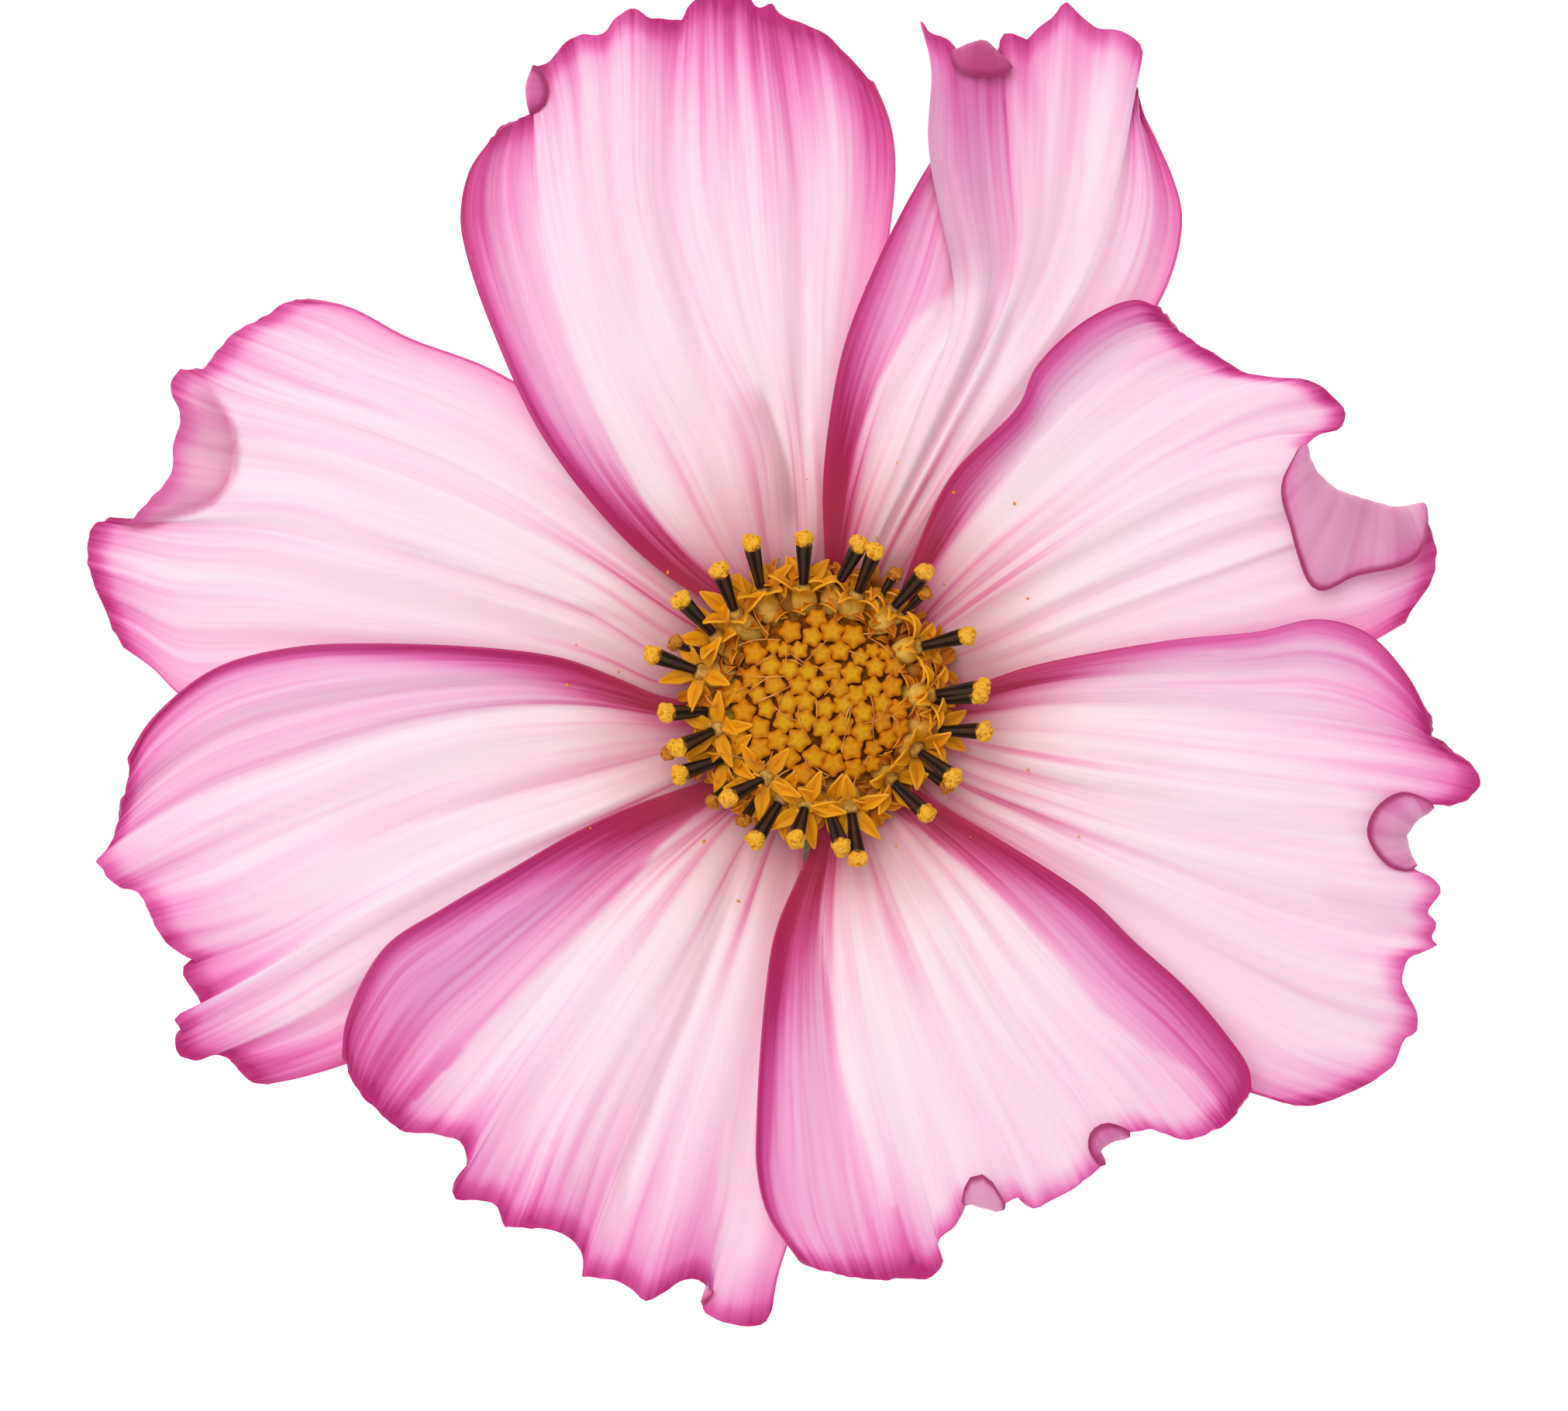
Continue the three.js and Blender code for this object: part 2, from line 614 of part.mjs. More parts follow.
function petals() {
  for (const petal of PETALS) {
    const curves = petalCurves(petal);
    const blade = bladeGeometry(petalRows(petal, curves));
    const flaps = petal.flaps.map((flap) => bladeGeometry(flapRows(petal, curves, flap).reverse()));
    place(petal.name, flaps.length ? joined([blade, ...flaps]) : blade, petalPink);
  }
}

// ---- Disc: closed buds in the middle ----

function discHeight(radius) {
  return DISC_TOP_Z + DISC_DOME * (1 - (radius / DISC_RADIUS) ** 2);
}

// One bud: a five-pointed pillar with a raised middle.
function budGeometry(x, y, turn) {
  const positions = [];
  const faces = [];
  const points = 10;
  const top = discHeight(Math.hypot(x, y));
  const levels = [top - BUD_ROOT, top + BUD_HEIGHT * 0.6];
  for (const z of levels) {
    for (let i = 0; i < points; i += 1) {
      const radius = i % 2 ? BUD_NOTCH : BUD_POINT;
      const angle = turn + (i * 2 * Math.PI) / points;
      positions.push(x + radius * Math.cos(angle), y + radius * Math.sin(angle), z);
    }
  }
  positions.push(x, y, levels[0], x, y, top + BUD_HEIGHT);
  const [foot, crown] = [2 * points, 2 * points + 1];
  for (let i = 0; i < points; i += 1) {
    const next = (i + 1) % points;
    faces.push(foot, next, i, crown, points + i, points + next);
    faces.push(i, next, points + next, i, points + next, points + i);
  }
  const geometry = new THREE.BufferGeometry();
  geometry.setAttribute("position", new THREE.Float32BufferAttribute(positions, 3));
  geometry.setIndex(faces);
  return geometry;
}

function disc() {
  const outline = [new THREE.Vector2(0, DISC_FOOT_Z), new THREE.Vector2(DISC_FOOT_RADIUS, DISC_FOOT_Z)];
  for (const radius of [DISC_RADIUS, DISC_RADIUS * 0.6, 0]) {
    outline.push(new THREE.Vector2(radius, discHeight(radius)));
  }
  const solids = [solidOf(turned(outline, 14))];
  for (let i = 0; i < BUDS; i += 1) {
    const radius = BUD_PITCH * Math.sqrt(i + 0.5);
    const angle = i * GOLDEN_ANGLE;
    solids.push(solidOf(budGeometry(radius * Math.cos(angle), radius * Math.sin(angle), angle)));
  }
  solids.push(...floretRing().map(solidOf));
  place("disc", geometryOf(solids.reduce((whole, piece) => whole.add(piece))), discGold);
}

// ---- Disc: the ring of open florets ----

// Where each open floret's lobes spread, and where its pollen is: x, y from the bloom's axis.
const OPEN_FLORETS = [
  [[-0.9, 5.9], [-0.9, 9.3]],
  [[-3.3, 5.6], [-3.9, 8.8]],
  [[-4.8, 4.7], [-5.7, 7.3]],
  [[-5.6, 3.1], [-8, 5.65]],
  [[-6.6, 1.2], [-9.6, 2.4]],
  [[-6.3, 2.2], [-8.5, 3.1]],
  [[-6.2, -0.9], [-8.8, -0.95]],
  [[-6.1, -2.3], [-8.6, -3.1]],
  [[-5.3, -3.5], [-8.1, -4.5]],
  [[-3.1, -4.7], [-5.3, -5.85]],
  [[-2.2, -5.9], [-3.7, -8.3]],
  [[-0.8, -6.3], [-1.4, -8.2]],
  [[0.5, -6.3], [1.3, -8.7]],
  [[1.8, -6.4], [2.2, -9.4]],
  [[4.1, -4.8], [6.2, -6.8]],
  [[5.6, -3.1], [7.7, -4.7]],
  [[6.2, -1.9], [9.5, -2]],
  [[6.2, 0.1], [9.3, 0.5]],
  [[5.6, 2.8], [8.6, 3.5]],
  [[4.1, 4.9], [6.1, 7.2]],
  [[2.1, 5.7], [3.25, 8.4]],
  [[0.9, 6], [2.5, 9]],
];
// Florets past their bloom, without anthers, lean lower between them.
const SPENT_FLORETS = [
  [-6.5, -3.5], [-4.3, -5.4], [3.1, -6.2], [6.7, -0.9],
  [6.7, 1.7], [3.3, 6.3], [-2.1, 6.6], [-6.8, 0.2],
];

function segment(from, to, start, end, sides) {
  const run = to.clone().sub(from);
  const piece = new THREE.CylinderGeometry(end, start, run.length(), sides);
  const up = new THREE.Vector3(0, 1, 0);
  piece.applyQuaternion(new THREE.Quaternion().setFromUnitVectors(up, run.normalize()));
  const middle = from.clone().add(to).multiplyScalar(0.5);
  return piece.translate(middle.x, middle.y, middle.z);
}

// A floret's five lobes round +Z: a star that is hollowed above and tapers to its tube below.
function starGeometry() {
  const positions = [0, 0, 0, 0, 0, -CUP_DEPTH];
  const faces = [];
  const corners = 2 * LOBES;
  for (let i = 0; i < corners; i += 1) {
    const [radius, z] = i % 2 ? [LOBE_NOTCH, 0.1] : [LOBE_REACH, LOBE_RISE];
    const angle = (i * Math.PI) / LOBES;
    positions.push(radius * Math.cos(angle), radius * Math.sin(angle), z);
    const [here, next] = [2 + i, 2 + ((i + 1) % corners)];
    faces.push(0, here, next, 1, next, here);
  }
  const geometry = new THREE.BufferGeometry();
  geometry.setAttribute("position", new THREE.Float32BufferAttribute(positions, 3));
  return geometry.setIndex(faces);
}

// A floret's head along +Z from its throat: the lobes, and if it is fresh its anther column.
function headGeometries(fresh) {
  const up = (z) => new THREE.Vector3(0, 0, z);
  if (!fresh) {
    return [starGeometry()];
  }
  const column = segment(up(-0.2), up(POLLEN_REACH), ANTHER_RADIUS * 0.85, ANTHER_RADIUS, 5);
  const pollen = new THREE.OctahedronGeometry(POLLEN_RADIUS, 0).translate(0, 0, POLLEN_REACH);
  return [starGeometry(), column, pollen];
}

// The axis of a floret whose pollen stands that far from its throat, seen from above.
function floretAxis(face, tip) {
  const reach = new THREE.Vector2(tip[0] - face[0], tip[1] - face[1]);
  const sine = Math.min(reach.length() / POLLEN_REACH, MOST_LEAN);
  reach.normalize().multiplyScalar(sine);
  return new THREE.Vector3(reach.x, reach.y, Math.sqrt(1 - sine * sine));
}

function floretGeometries(face, tip, z, fresh, index) {
  const throat = new THREE.Vector3(face[0], face[1], z);
  const root = new THREE.Vector3(face[0], face[1], 0).setLength(ROOT_RADIUS).setZ(ROOT_Z);
  const turn = new THREE.Quaternion().setFromUnitVectors(new THREE.Vector3(0, 0, 1), floretAxis(face, tip));
  const head = headGeometries(fresh).map((part) =>
    part.rotateZ(index * FLORET_TURN).applyQuaternion(turn).translate(throat.x, throat.y, throat.z),
  );
  return [segment(root, throat, TUBE_FOOT, TUBE_MOUTH, 5), ...head];
}

function floretRing() {
  const open = OPEN_FLORETS.flatMap(([face, tip], i) =>
    floretGeometries(face, tip, FACE_Z + (i % 2 ? -FACE_STEP : FACE_STEP), true, i),
  );
  const spent = SPENT_FLORETS.flatMap((face, i) =>
    floretGeometries(face, [face[0] * 1.4, face[1] * 1.4], SPENT_Z, false, i),
  );
  return [...open, ...spent];
}

receptacle();
outerBracts();
innerBracts();
petals();
disc();

export default bloom;
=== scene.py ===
import math

import bpy
import numpy as np
from mathutils import Matrix, Vector


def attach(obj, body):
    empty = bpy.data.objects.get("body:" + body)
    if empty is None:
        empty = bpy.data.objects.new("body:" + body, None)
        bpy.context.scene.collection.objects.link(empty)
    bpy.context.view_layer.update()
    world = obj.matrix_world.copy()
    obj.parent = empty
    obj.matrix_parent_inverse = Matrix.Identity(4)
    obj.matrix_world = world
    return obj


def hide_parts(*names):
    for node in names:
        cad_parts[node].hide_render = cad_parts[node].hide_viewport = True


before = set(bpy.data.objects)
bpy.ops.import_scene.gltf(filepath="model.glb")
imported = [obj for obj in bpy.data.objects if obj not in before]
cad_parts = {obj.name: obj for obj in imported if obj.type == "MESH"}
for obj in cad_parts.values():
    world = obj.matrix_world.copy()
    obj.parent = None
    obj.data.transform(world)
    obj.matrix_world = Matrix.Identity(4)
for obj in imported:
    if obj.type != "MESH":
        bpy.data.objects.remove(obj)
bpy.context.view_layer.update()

bpy.ops.object.select_all(action="DESELECT")

# ---- The light table ----
# The bloom lies face up on a white table under a wide soft lamp and an even white sky of light.
# It is photographed from straight above with a long lens, and the picture takes in 89.9 mm.

MM = 0.001
PHOTO_WIDTH = 89.9
PHOTO_MIDDLE = (0.07, -2.585)
PETAL_LEVEL = 11.0
LENS = 200.0
SENSOR = 36.0
TABLE_GLOW = 0.62
SKY_GLOW = 0.59
LAMP_PLACE = (-0.16, 0.2, 0.6)


def srgb(red, green, blue):
    """A colour as it looks on a screen, 0 to 255, in the shader's own measure."""
    shares = [value / 255 for value in (red, green, blue)]
    return tuple(c / 12.92 if c < 0.04 else ((c + 0.055) / 1.055) ** 2.4 for c in shares) + (1.0,)


class Shade:
    """One value among a material's nodes. Sums and products of values add Math nodes."""

    def __init__(self, tree, socket=None):
        self.tree = tree
        self.socket = socket

    def node(self, kind, settings=None, sockets=None, out=0):
        """Adds a node with its settings, then the values or links of its sockets."""
        made = self.tree.nodes.new(kind)
        for name, value in (settings or {}).items():
            if name == "stops":
                ramp = made.color_ramp
                while len(ramp.elements) < len(value):
                    ramp.elements.new(0.5)
                for element, (place, colour) in zip(ramp.elements, value):
                    element.position = place
                    element.color = colour
            else:
                setattr(made, name, value)
        for name, value in (sockets or {}).items():
            if isinstance(value, Shade):
                self.tree.links.new(value.socket, made.inputs[name])
            else:
                made.inputs[name].default_value = value
        return Shade(self.tree, made.outputs[out])

    def math(self, operation, *values):
        return self.node("ShaderNodeMath", {"operation": operation}, dict(enumerate(values)))

    def __add__(self, other):
        return self.math("ADD", self, other)

    def __radd__(self, other):
        return self.math("ADD", other, self)

    def __sub__(self, other):
        return self.math("SUBTRACT", self, other)

    def __rsub__(self, other):
        return self.math("SUBTRACT", other, self)

    def __mul__(self, other):
        return self.math("MULTIPLY", self, other)

    def __rmul__(self, other):
        return self.math("MULTIPLY", other, self)

    def __truediv__(self, other):
        return self.math("DIVIDE", self, other)

    def __rtruediv__(self, other):
        return self.math("DIVIDE", other, self)

    def __pow__(self, other):
        return self.math("POWER", self, other)

    def __rpow__(self, other):
        return self.math("POWER", other, self)

    def most(self, other):
        return self.math("MAXIMUM", self, other)

    def least(self, other):
        return self.math("MINIMUM", self, other)

    def fade(self, start, end, low=0.0, high=1.0):
        """Goes smoothly from low to high while this value goes from start to end."""
        return self.node(
            "ShaderNodeMapRange",
            {"interpolation_type": "SMOOTHSTEP"},
            {"Value": self, "From Min": start, "From Max": end, "To Min": low, "To Max": high},
        )

    def tint(self, ground, paint):
        """The ground colour where this value is 0, the paint colour where it is 1."""
        return self.node("ShaderNodeMix", {"data_type": "RGBA"}, {0: self, 6: ground, 7: paint}, 2)

    def kept(self, name):
        """A value that the mesh keeps at its points."""
        return self.node("ShaderNodeAttribute", {"attribute_name": name}, out=2)

    def point(self, x, y, z):
        return self.node("ShaderNodeCombineXYZ", None, {0: x, 1: y, 2: z})

    def place(self):
        return self.node("ShaderNodeTexCoord", out=3)

    def noise(self, where, scale=1.0, detail=2.0, rough=0.5):
        sockets = {"Vector": where, "Scale": scale, "Detail": detail, "Roughness": rough}
        return self.node("ShaderNodeTexNoise", None, sockets)

    def bump(self, height, strength, distance):
        sockets = {"Strength": strength, "Distance": distance, "Height": height}
        return self.node("ShaderNodeBump", None, sockets)


def new_material(name):
    material = bpy.data.materials.new(name)
    material.use_nodes = True
    return material, Shade(material.node_tree)


def finish_surface(material, colour, roughness, normal=None, **constants):
    """Puts the worked-out colour, roughness and relief on the material's surface."""
    tree = material.node_tree
    surface = tree.nodes["Principled BSDF"]
    for name, value in (("Base Color", colour), ("Roughness", roughness), ("Normal", normal)):
        if isinstance(value, Shade):
            tree.links.new(value.socket, surface.inputs[name])
        elif value is not None:
            surface.inputs[name].default_value = value
    for name, value in constants.items():
        surface.inputs[name.replace("_", " ")].default_value = value


bpy.ops.mesh.primitive_plane_add(size=4, location=(0, 0, 0))
table = bpy.context.object
table.name = "light_table"
table_white, _ = new_material("table_white")
finish_surface(
    table_white, srgb(250, 250, 250), 0.9, Emission_Color=(1, 1, 1, 1), Emission_Strength=TABLE_GLOW
)
table.data.materials.append(table_white)

world = bpy.data.worlds.new("soft_white")
world.use_nodes = True
sky = world.node_tree.nodes["Background"]
sky.inputs["Color"].default_value = (1, 1, 1, 1)
sky.inputs["Strength"].default_value = SKY_GLOW
bpy.context.scene.world = world

bpy.ops.object.light_add(type="AREA", location=LAMP_PLACE)
lamp = bpy.context.object
lamp.name = "soft_lamp"
lamp.data.shape = "DISK"
lamp.data.size = 0.5
lamp.data.energy = 2.0
lamp.rotation_euler = Vector(LAMP_PLACE).to_track_quat("Z", "Y").to_euler()

height = PETAL_LEVEL + PHOTO_WIDTH * LENS / SENSOR
place = (PHOTO_MIDDLE[0] * MM, PHOTO_MIDDLE[1] * MM, height * MM)
bpy.ops.object.camera_add(location=place, rotation=(0, 0, 0))
camera = bpy.context.object
camera.data.lens = LENS
camera.data.sensor_width = SENSOR
camera.data.clip_start = 0.01
camera.data.clip_end = 10
bpy.context.scene.camera = camera
bpy.context.scene.view_settings.view_transform = "Standard"

# ---- Stem and receptacle ----
# The short cut stem swells into the receptacle that carries every bract, petal and floret.
# It is one green, juicy, finely ribbed piece, sliced straight across at its lower end.

AXIS = (2.09, -2.055)
STEM_RADIUS = 1.15
STEM_LINE = [(1.15, 2.0), (2.0, 3.4), (3.4, 5.3), (4.5, 8.2)]
CUP_RADIUS = 4.5
CUP_TOP = 10.4


def rounded_line(points, shares):
    """Points at even shares of a rounded line's stretches, as the solids' own outlines run."""
    line = np.array(points, float)
    last = len(line) - 1
    made = []
    for share in shares:
        step = min(int(share * last), last - 1)
        w = share * last - step
        p0, p1 = line[max(step - 1, 0)], line[step]
        p2, p3 = line[step + 1], line[min(step + 2, last)]
        v0, v1 = (p2 - p0) / 2, (p3 - p1) / 2
        cubic, square = 2 * p1 - 2 * p2 + v0 + v1, -3 * p1 + 3 * p2 - 2 * v0 - v1
        made.append(cubic * w**3 + square * w**2 + v0 * w + p1)
    return np.array(made)


def read_points(piece):
    """The mesh's points as rows of x, y and z."""
    points = np.empty(len(piece.data.vertices) * 3)
    piece.data.vertices.foreach_get("co", points)
    return points.reshape(-1, 3)


def write_points(piece, points):
    piece.data.vertices.foreach_set("co", np.ascontiguousarray(points, dtype=float).ravel())
    piece.data.update()


def keep_value(piece, name, values):
    """Keeps one number at each of the mesh's points, for the material to read."""
    attribute = piece.data.attributes.get(name) or piece.data.attributes.new(name, "FLOAT", "POINT")
    attribute.data.foreach_set("value", np.ascontiguousarray(values, dtype=np.float32).ravel())


def only(piece):
    """Selects this piece alone."""
    bpy.ops.object.select_all(action="DESELECT")
    piece.select_set(True)
    bpy.context.view_layer.objects.active = piece


def face_out(piece):
    """Turns every face of a closed piece outwards."""
    only(piece)
    bpy.ops.object.mode_set(mode="EDIT")
    bpy.ops.mesh.select_all(action="SELECT")
    bpy.ops.mesh.normals_make_consistent(inside=False)
    bpy.ops.object.mode_set(mode="OBJECT")


def thicken(piece, thickness, offset=-1.0):
    """Gives a sheet its thickness below its faces, or with offset 0 on both sides of them."""
    only(piece)
    modifier = piece.modifiers.new("thickness", "SOLIDIFY")
    modifier.thickness = thickness
    modifier.offset = offset
    bpy.ops.object.modifier_apply(modifier=modifier.name)


def smooth_shaded(piece, degrees=50):
    only(piece)
    bpy.ops.object.shade_smooth_by_angle(angle=math.radians(degrees))


def settle(piece, slot, *nodes):
    """The piece goes with the bloom, in place of the solids it stands for."""
    piece.data.name = piece.name
    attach(piece, "root")
    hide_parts(*nodes)


def turned(name, rings, vertices, unit=1.0, middle=(0, 0, 0), fill="NGON"):
    """A piece as a lathe turns it: the first ring drawn up through the others, each of them a
    radius and a height in the given unit."""
    (radius, level), *others = rings
    bpy.ops.mesh.primitive_circle_add(
        vertices=vertices, radius=radius * unit, fill_type=fill, location=(*middle[:2], level * unit)
    )
    piece = bpy.context.object
    piece.name = name
    bpy.ops.object.transform_apply(location=True, rotation=True, scale=True)
    bpy.ops.object.mode_set(mode="EDIT")
    bpy.ops.mesh.select_all(action="SELECT")
    for next_radius, next_level in others:
        share = next_radius / radius
        rise = {"value": (0, 0, (next_level - level) * unit)}
        bpy.ops.mesh.extrude_region_move(TRANSFORM_OT_translate=rise)
        bpy.ops.transform.resize(value=(share, share, 1), center_override=middle)
        radius, level = next_radius, next_level
    bpy.ops.object.mode_set(mode="OBJECT")
    return piece


stem_rings = [(0.62 * STEM_RADIUS, 0.0), (1.0, 0.0)]
stem_rings += [(STEM_RADIUS, level) for level in (0.12, 0.7, 1.4)]
stem_rings += [tuple(point) for point in rounded_line(STEM_LINE, np.linspace(0, 1, 22))]
stem_rings += [(CUP_RADIUS, 9.2), (CUP_RADIUS, 10.1), (CUP_RADIUS - 0.3, CUP_TOP), (1.2, CUP_TOP)]
centre = (AXIS[0] * MM, AXIS[1] * MM, 0)
stem = turned("stem_and_receptacle_grown", stem_rings, 96, MM, centre)
points = read_points(stem) / MM - (*AXIS, 0)
angle = np.arctan2(points[:, 1], points[:, 0])
reach = np.hypot(points[:, 0], points[:, 1])
ribs = 0.035 * np.clip(reach - 0.8, 0, 1) * (np.abs(np.cos(4 * angle)) ** 0.6 - 0.55)
ribs += 0.015 * np.cos(24 * angle) * (reach > 1.1)
points[:, :2] *= (1 + ribs / np.maximum(reach, 0.3))[:, None]
points[:, 2] += np.where((reach < 0.9) & (points[:, 2] < 0.5), 0.06, 0)
write_points(stem, (points + (*AXIS, 0)) * MM)
face_out(stem)
smooth_shaded(stem)

stem_skin, shade = new_material("stem_skin")
where = shade.place()
mottle = shade.noise(where, 900, 4)
upright = shade.node("ShaderNodeMapping", None, {"Vector": where, "Scale": (3000, 3000, 260)})
streak = shade.noise(upright, 1, 3)
level_up = shade.node("ShaderNodeSeparateXYZ", None, {0: where}, 2)
green = (streak * 0.6 + mottle * 0.4).fade(0.3, 0.7).tint(srgb(98, 128, 58), srgb(140, 164, 86))
cut = level_up.fade(0.00002, 0.00016, 1, 0)
green = (cut * mottle.fade(0.2, 0.9, 0.55, 1)).tint(green, srgb(214, 214, 158))
pale = level_up.fade(0.0035, 0.0095)
green = (pale * 0.55).tint(green, srgb(176, 184, 112))
relief = shade.bump(streak, 0.5, 0.00012)
finish_surface(stem_skin, green, streak.fade(0.2, 0.8, 0.42, 0.62), relief, Specular_IOR_Level=0.4)
stem.data.materials.append(stem_skin)
settle(stem, "stem", "stem_and_receptacle")

# ---- Outer bracts ----
# Eight narrow leaf-green bracts round the foot of the receptacle. They arch out and down, and the
# bloom stands on their tips. Each grows from the receptacle and is fleshy, grooved and pointed.

BRACTS = 8
OUTER_LINE = [(2.35, 2.95), (4.6, 3.35), (7.4, 2.3), (9.8, 0.46), (10.8, 0.31)]
OUTER_HALF_WIDTHS = [0.75, 1.15, 1.35, 1.3, 1.1, 0.8, 0.22]


def leaf_blade(name, line, half_widths, columns, rows, curl, groove, thickness):
    """A bract's blade along a line of radii and heights, at the bloom's +X side. It curls up or
    down towards its margins and has a midrib and fine nerves as deep as its groove."""
    bpy.ops.mesh.primitive_grid_add(x_subdivisions=rows, y_subdivisions=columns, size=2)
    blade = bpy.context.object
    blade.name = name
    flat = read_points(blade)
    along = np.clip((flat[:, 0] + 1) / 2, 0, 1)
    side = flat[:, 1]
    middle = rounded_line(line, along)
    half = rounded_line(np.array(half_widths)[:, None], along)[:, 0]
    points = np.empty_like(flat)
    points[:, 0] = middle[:, 0] + AXIS[0]
    points[:, 1] = side * half + AXIS[1]
    nerves = groove * np.exp(-((side / 0.12) ** 2)) + 0.4 * groove * np.cos(side * 14) * (1 - side**2)
    nerves *= np.clip(np.minimum(along, 1 - along) * 6, 0, 1)
    points[:, 2] = middle[:, 1] + curl * half * side**2 - nerves
    points[:, 2] = np.maximum(points[:, 2], thickness / 2 + 0.02)
    write_points(blade, points * MM)
    keep_value(blade, "along", along)
    keep_value(blade, "side", np.abs(side))
    thicken(blade, thickness * MM, 0)
    smooth_shaded(blade)
    return blade


def whorl(first, names, turns, slot):
    """The bract and its copies, each with its own mesh turned to its place round the stem."""
    middle = Vector(centre)
    for name, turn in zip(names, turns):
        bract = first.copy()
        bract.data = first.data.copy()
        bract.name = name + "_leaf"
        bpy.context.collection.objects.link(bract)
        move = Matrix.Translation(middle) @ Matrix.Rotation(turn, 4, "Z") @ Matrix.Translation(-middle)
        bract.data.transform(move)
        settle(bract, slot, name)
    bpy.data.objects.remove(first)


def leaf_material(name, low, high, margin, rim_start):
    """A bract's skin between two greens, with its margin's colour from rim_start on outwards."""
    skin, shade = new_material(name)
    along, side = shade.kept("along"), shade.kept("side")
    veins = shade.noise(shade.point(side * 9, along * 2, 0.5), 2.2, 3)
    mottle = shade.noise(shade.place(), 1400, 4)
    colour = (veins * 0.6 + mottle * 0.4).fade(0.3, 0.72).tint(srgb(*low), srgb(*high))
    rim = side.fade(rim_start, 1.0) * mottle.fade(0.2, 0.8, 0.6, 1.0)
    colour = rim.tint(colour, srgb(*margin))
    colour = (along.fade(0.86, 1.0) * 0.7).tint(colour, srgb(*margin))
    relief = shade.bump(veins * 0.7 + mottle * 0.3, 0.45, 0.0001)
    finish_surface(skin, colour, mottle.fade(0.2, 0.8, 0.45, 0.65), relief, Specular_IOR_Level=0.4)
    return skin


outer = leaf_blade(
    "outer_bract", OUTER_LINE, OUTER_HALF_WIDTHS, columns=14, rows=48, curl=0.05, groove=0.09, thickness=0.5
)
outer.data.materials.append(leaf_material("bract_green", (74, 104, 44), (112, 142, 66), (138, 96, 66), 0.86))
names = [f"outer_bract_{i + 1}" for i in range(BRACTS)]
whorl(outer, names, [i * 2 * math.pi / BRACTS for i in range(BRACTS)], "outer_bract")

# ---- Inner bracts ----
# Eight broad, thin bracts stand between the outer ones and press up under the petals' feet.
# They are brownish green with fine lengthwise nerves and a pale, papery margin.

INNER_LINE = [(4.35, 5.9), (5.3, 7.1), (7.0, 8.1), (9.4, 8.7)]
INNER_HALF_WIDTHS = [1.3, 1.75, 2.0, 1.95, 1.6, 0.7]

inner = leaf_blade(
    "inner_bract", INNER_LINE, INNER_HALF_WIDTHS, columns=24, rows=36, curl=-0.12, groove=0.06, thickness=0.32
)
inner.data.materials.append(leaf_material("bract_pale", (126, 122, 66), (164, 158, 96), (214, 196, 150), 0.7))
names = [f"inner_bract_{i + 1}" for i in range(BRACTS)]
whorl(inner, names, [(i + 0.5) * 2 * math.pi / BRACTS for i in range(BRACTS)], "inner_bract")

# ---- Petals ----
# Eight broad thin petals, pale pink with crimson raised margins, mauve bands beside them that are
# partly pigment and partly painted shade, and a streaked magenta wash at their toothed ends. Each
# is one satin blade that grows from a claw. Painted shade lies along their creases and round their
# feet by the disc.

CLAW_RADIUS = 4.9
CLAW_HALF_WIDTH = 1.45
CLAW_Z = 9.2
CREST_RADIUS = 26.0
CREST_RISE = 2.8
TIP_DROOP = 1.6
DROOP_REACH = 16.0
LIFT_START = 1.2
LIFT_REACH = 12.0
PLEAT_DEPTH = 0.16
PLEATS = 7
FINE_PLEAT_DEPTH = 0.045
TOOTH_DEPTH = 0.045
RUFFLE_DEPTH = 0.45
RUFFLES = 5
FLAP_RISE = 1.3
FLAP_ROWS = 18
BAND_REACH = 0.45
SHADOW_REACH = 1.3
PETAL_THICKNESS = 0.26
PETAL_ROWS = 100
PETAL_COLUMNS = 130

# The petals as drawn from above, in millimetres from the bloom's middle. `foot` is the direction in
# which a petal leaves the disc, in degrees. The rest of its drawing:
#   ribs   lines from foot to end: the place across the petal, 0 to 1, the lift over the dome, points
#   ends   the toothed end's points between each rib's tip and the next one's
#   flaps  rolled-over stretches of the end: from and to which place across, free margin, stain on it
#   bands  mauve bands, partly pigment and partly painted shade: beside which margin, 0 or 1, how
#          dark, inner border, widest reach across
#   tips   the magenta wash at the end: place across, how far it runs down the petal, strength
#   sides  the stained rims of margins 0 and 1: place along, width, strength
#   folds  creases: points, width, depth, how dark the painted shade on their left is, over how far
PETALS = {}

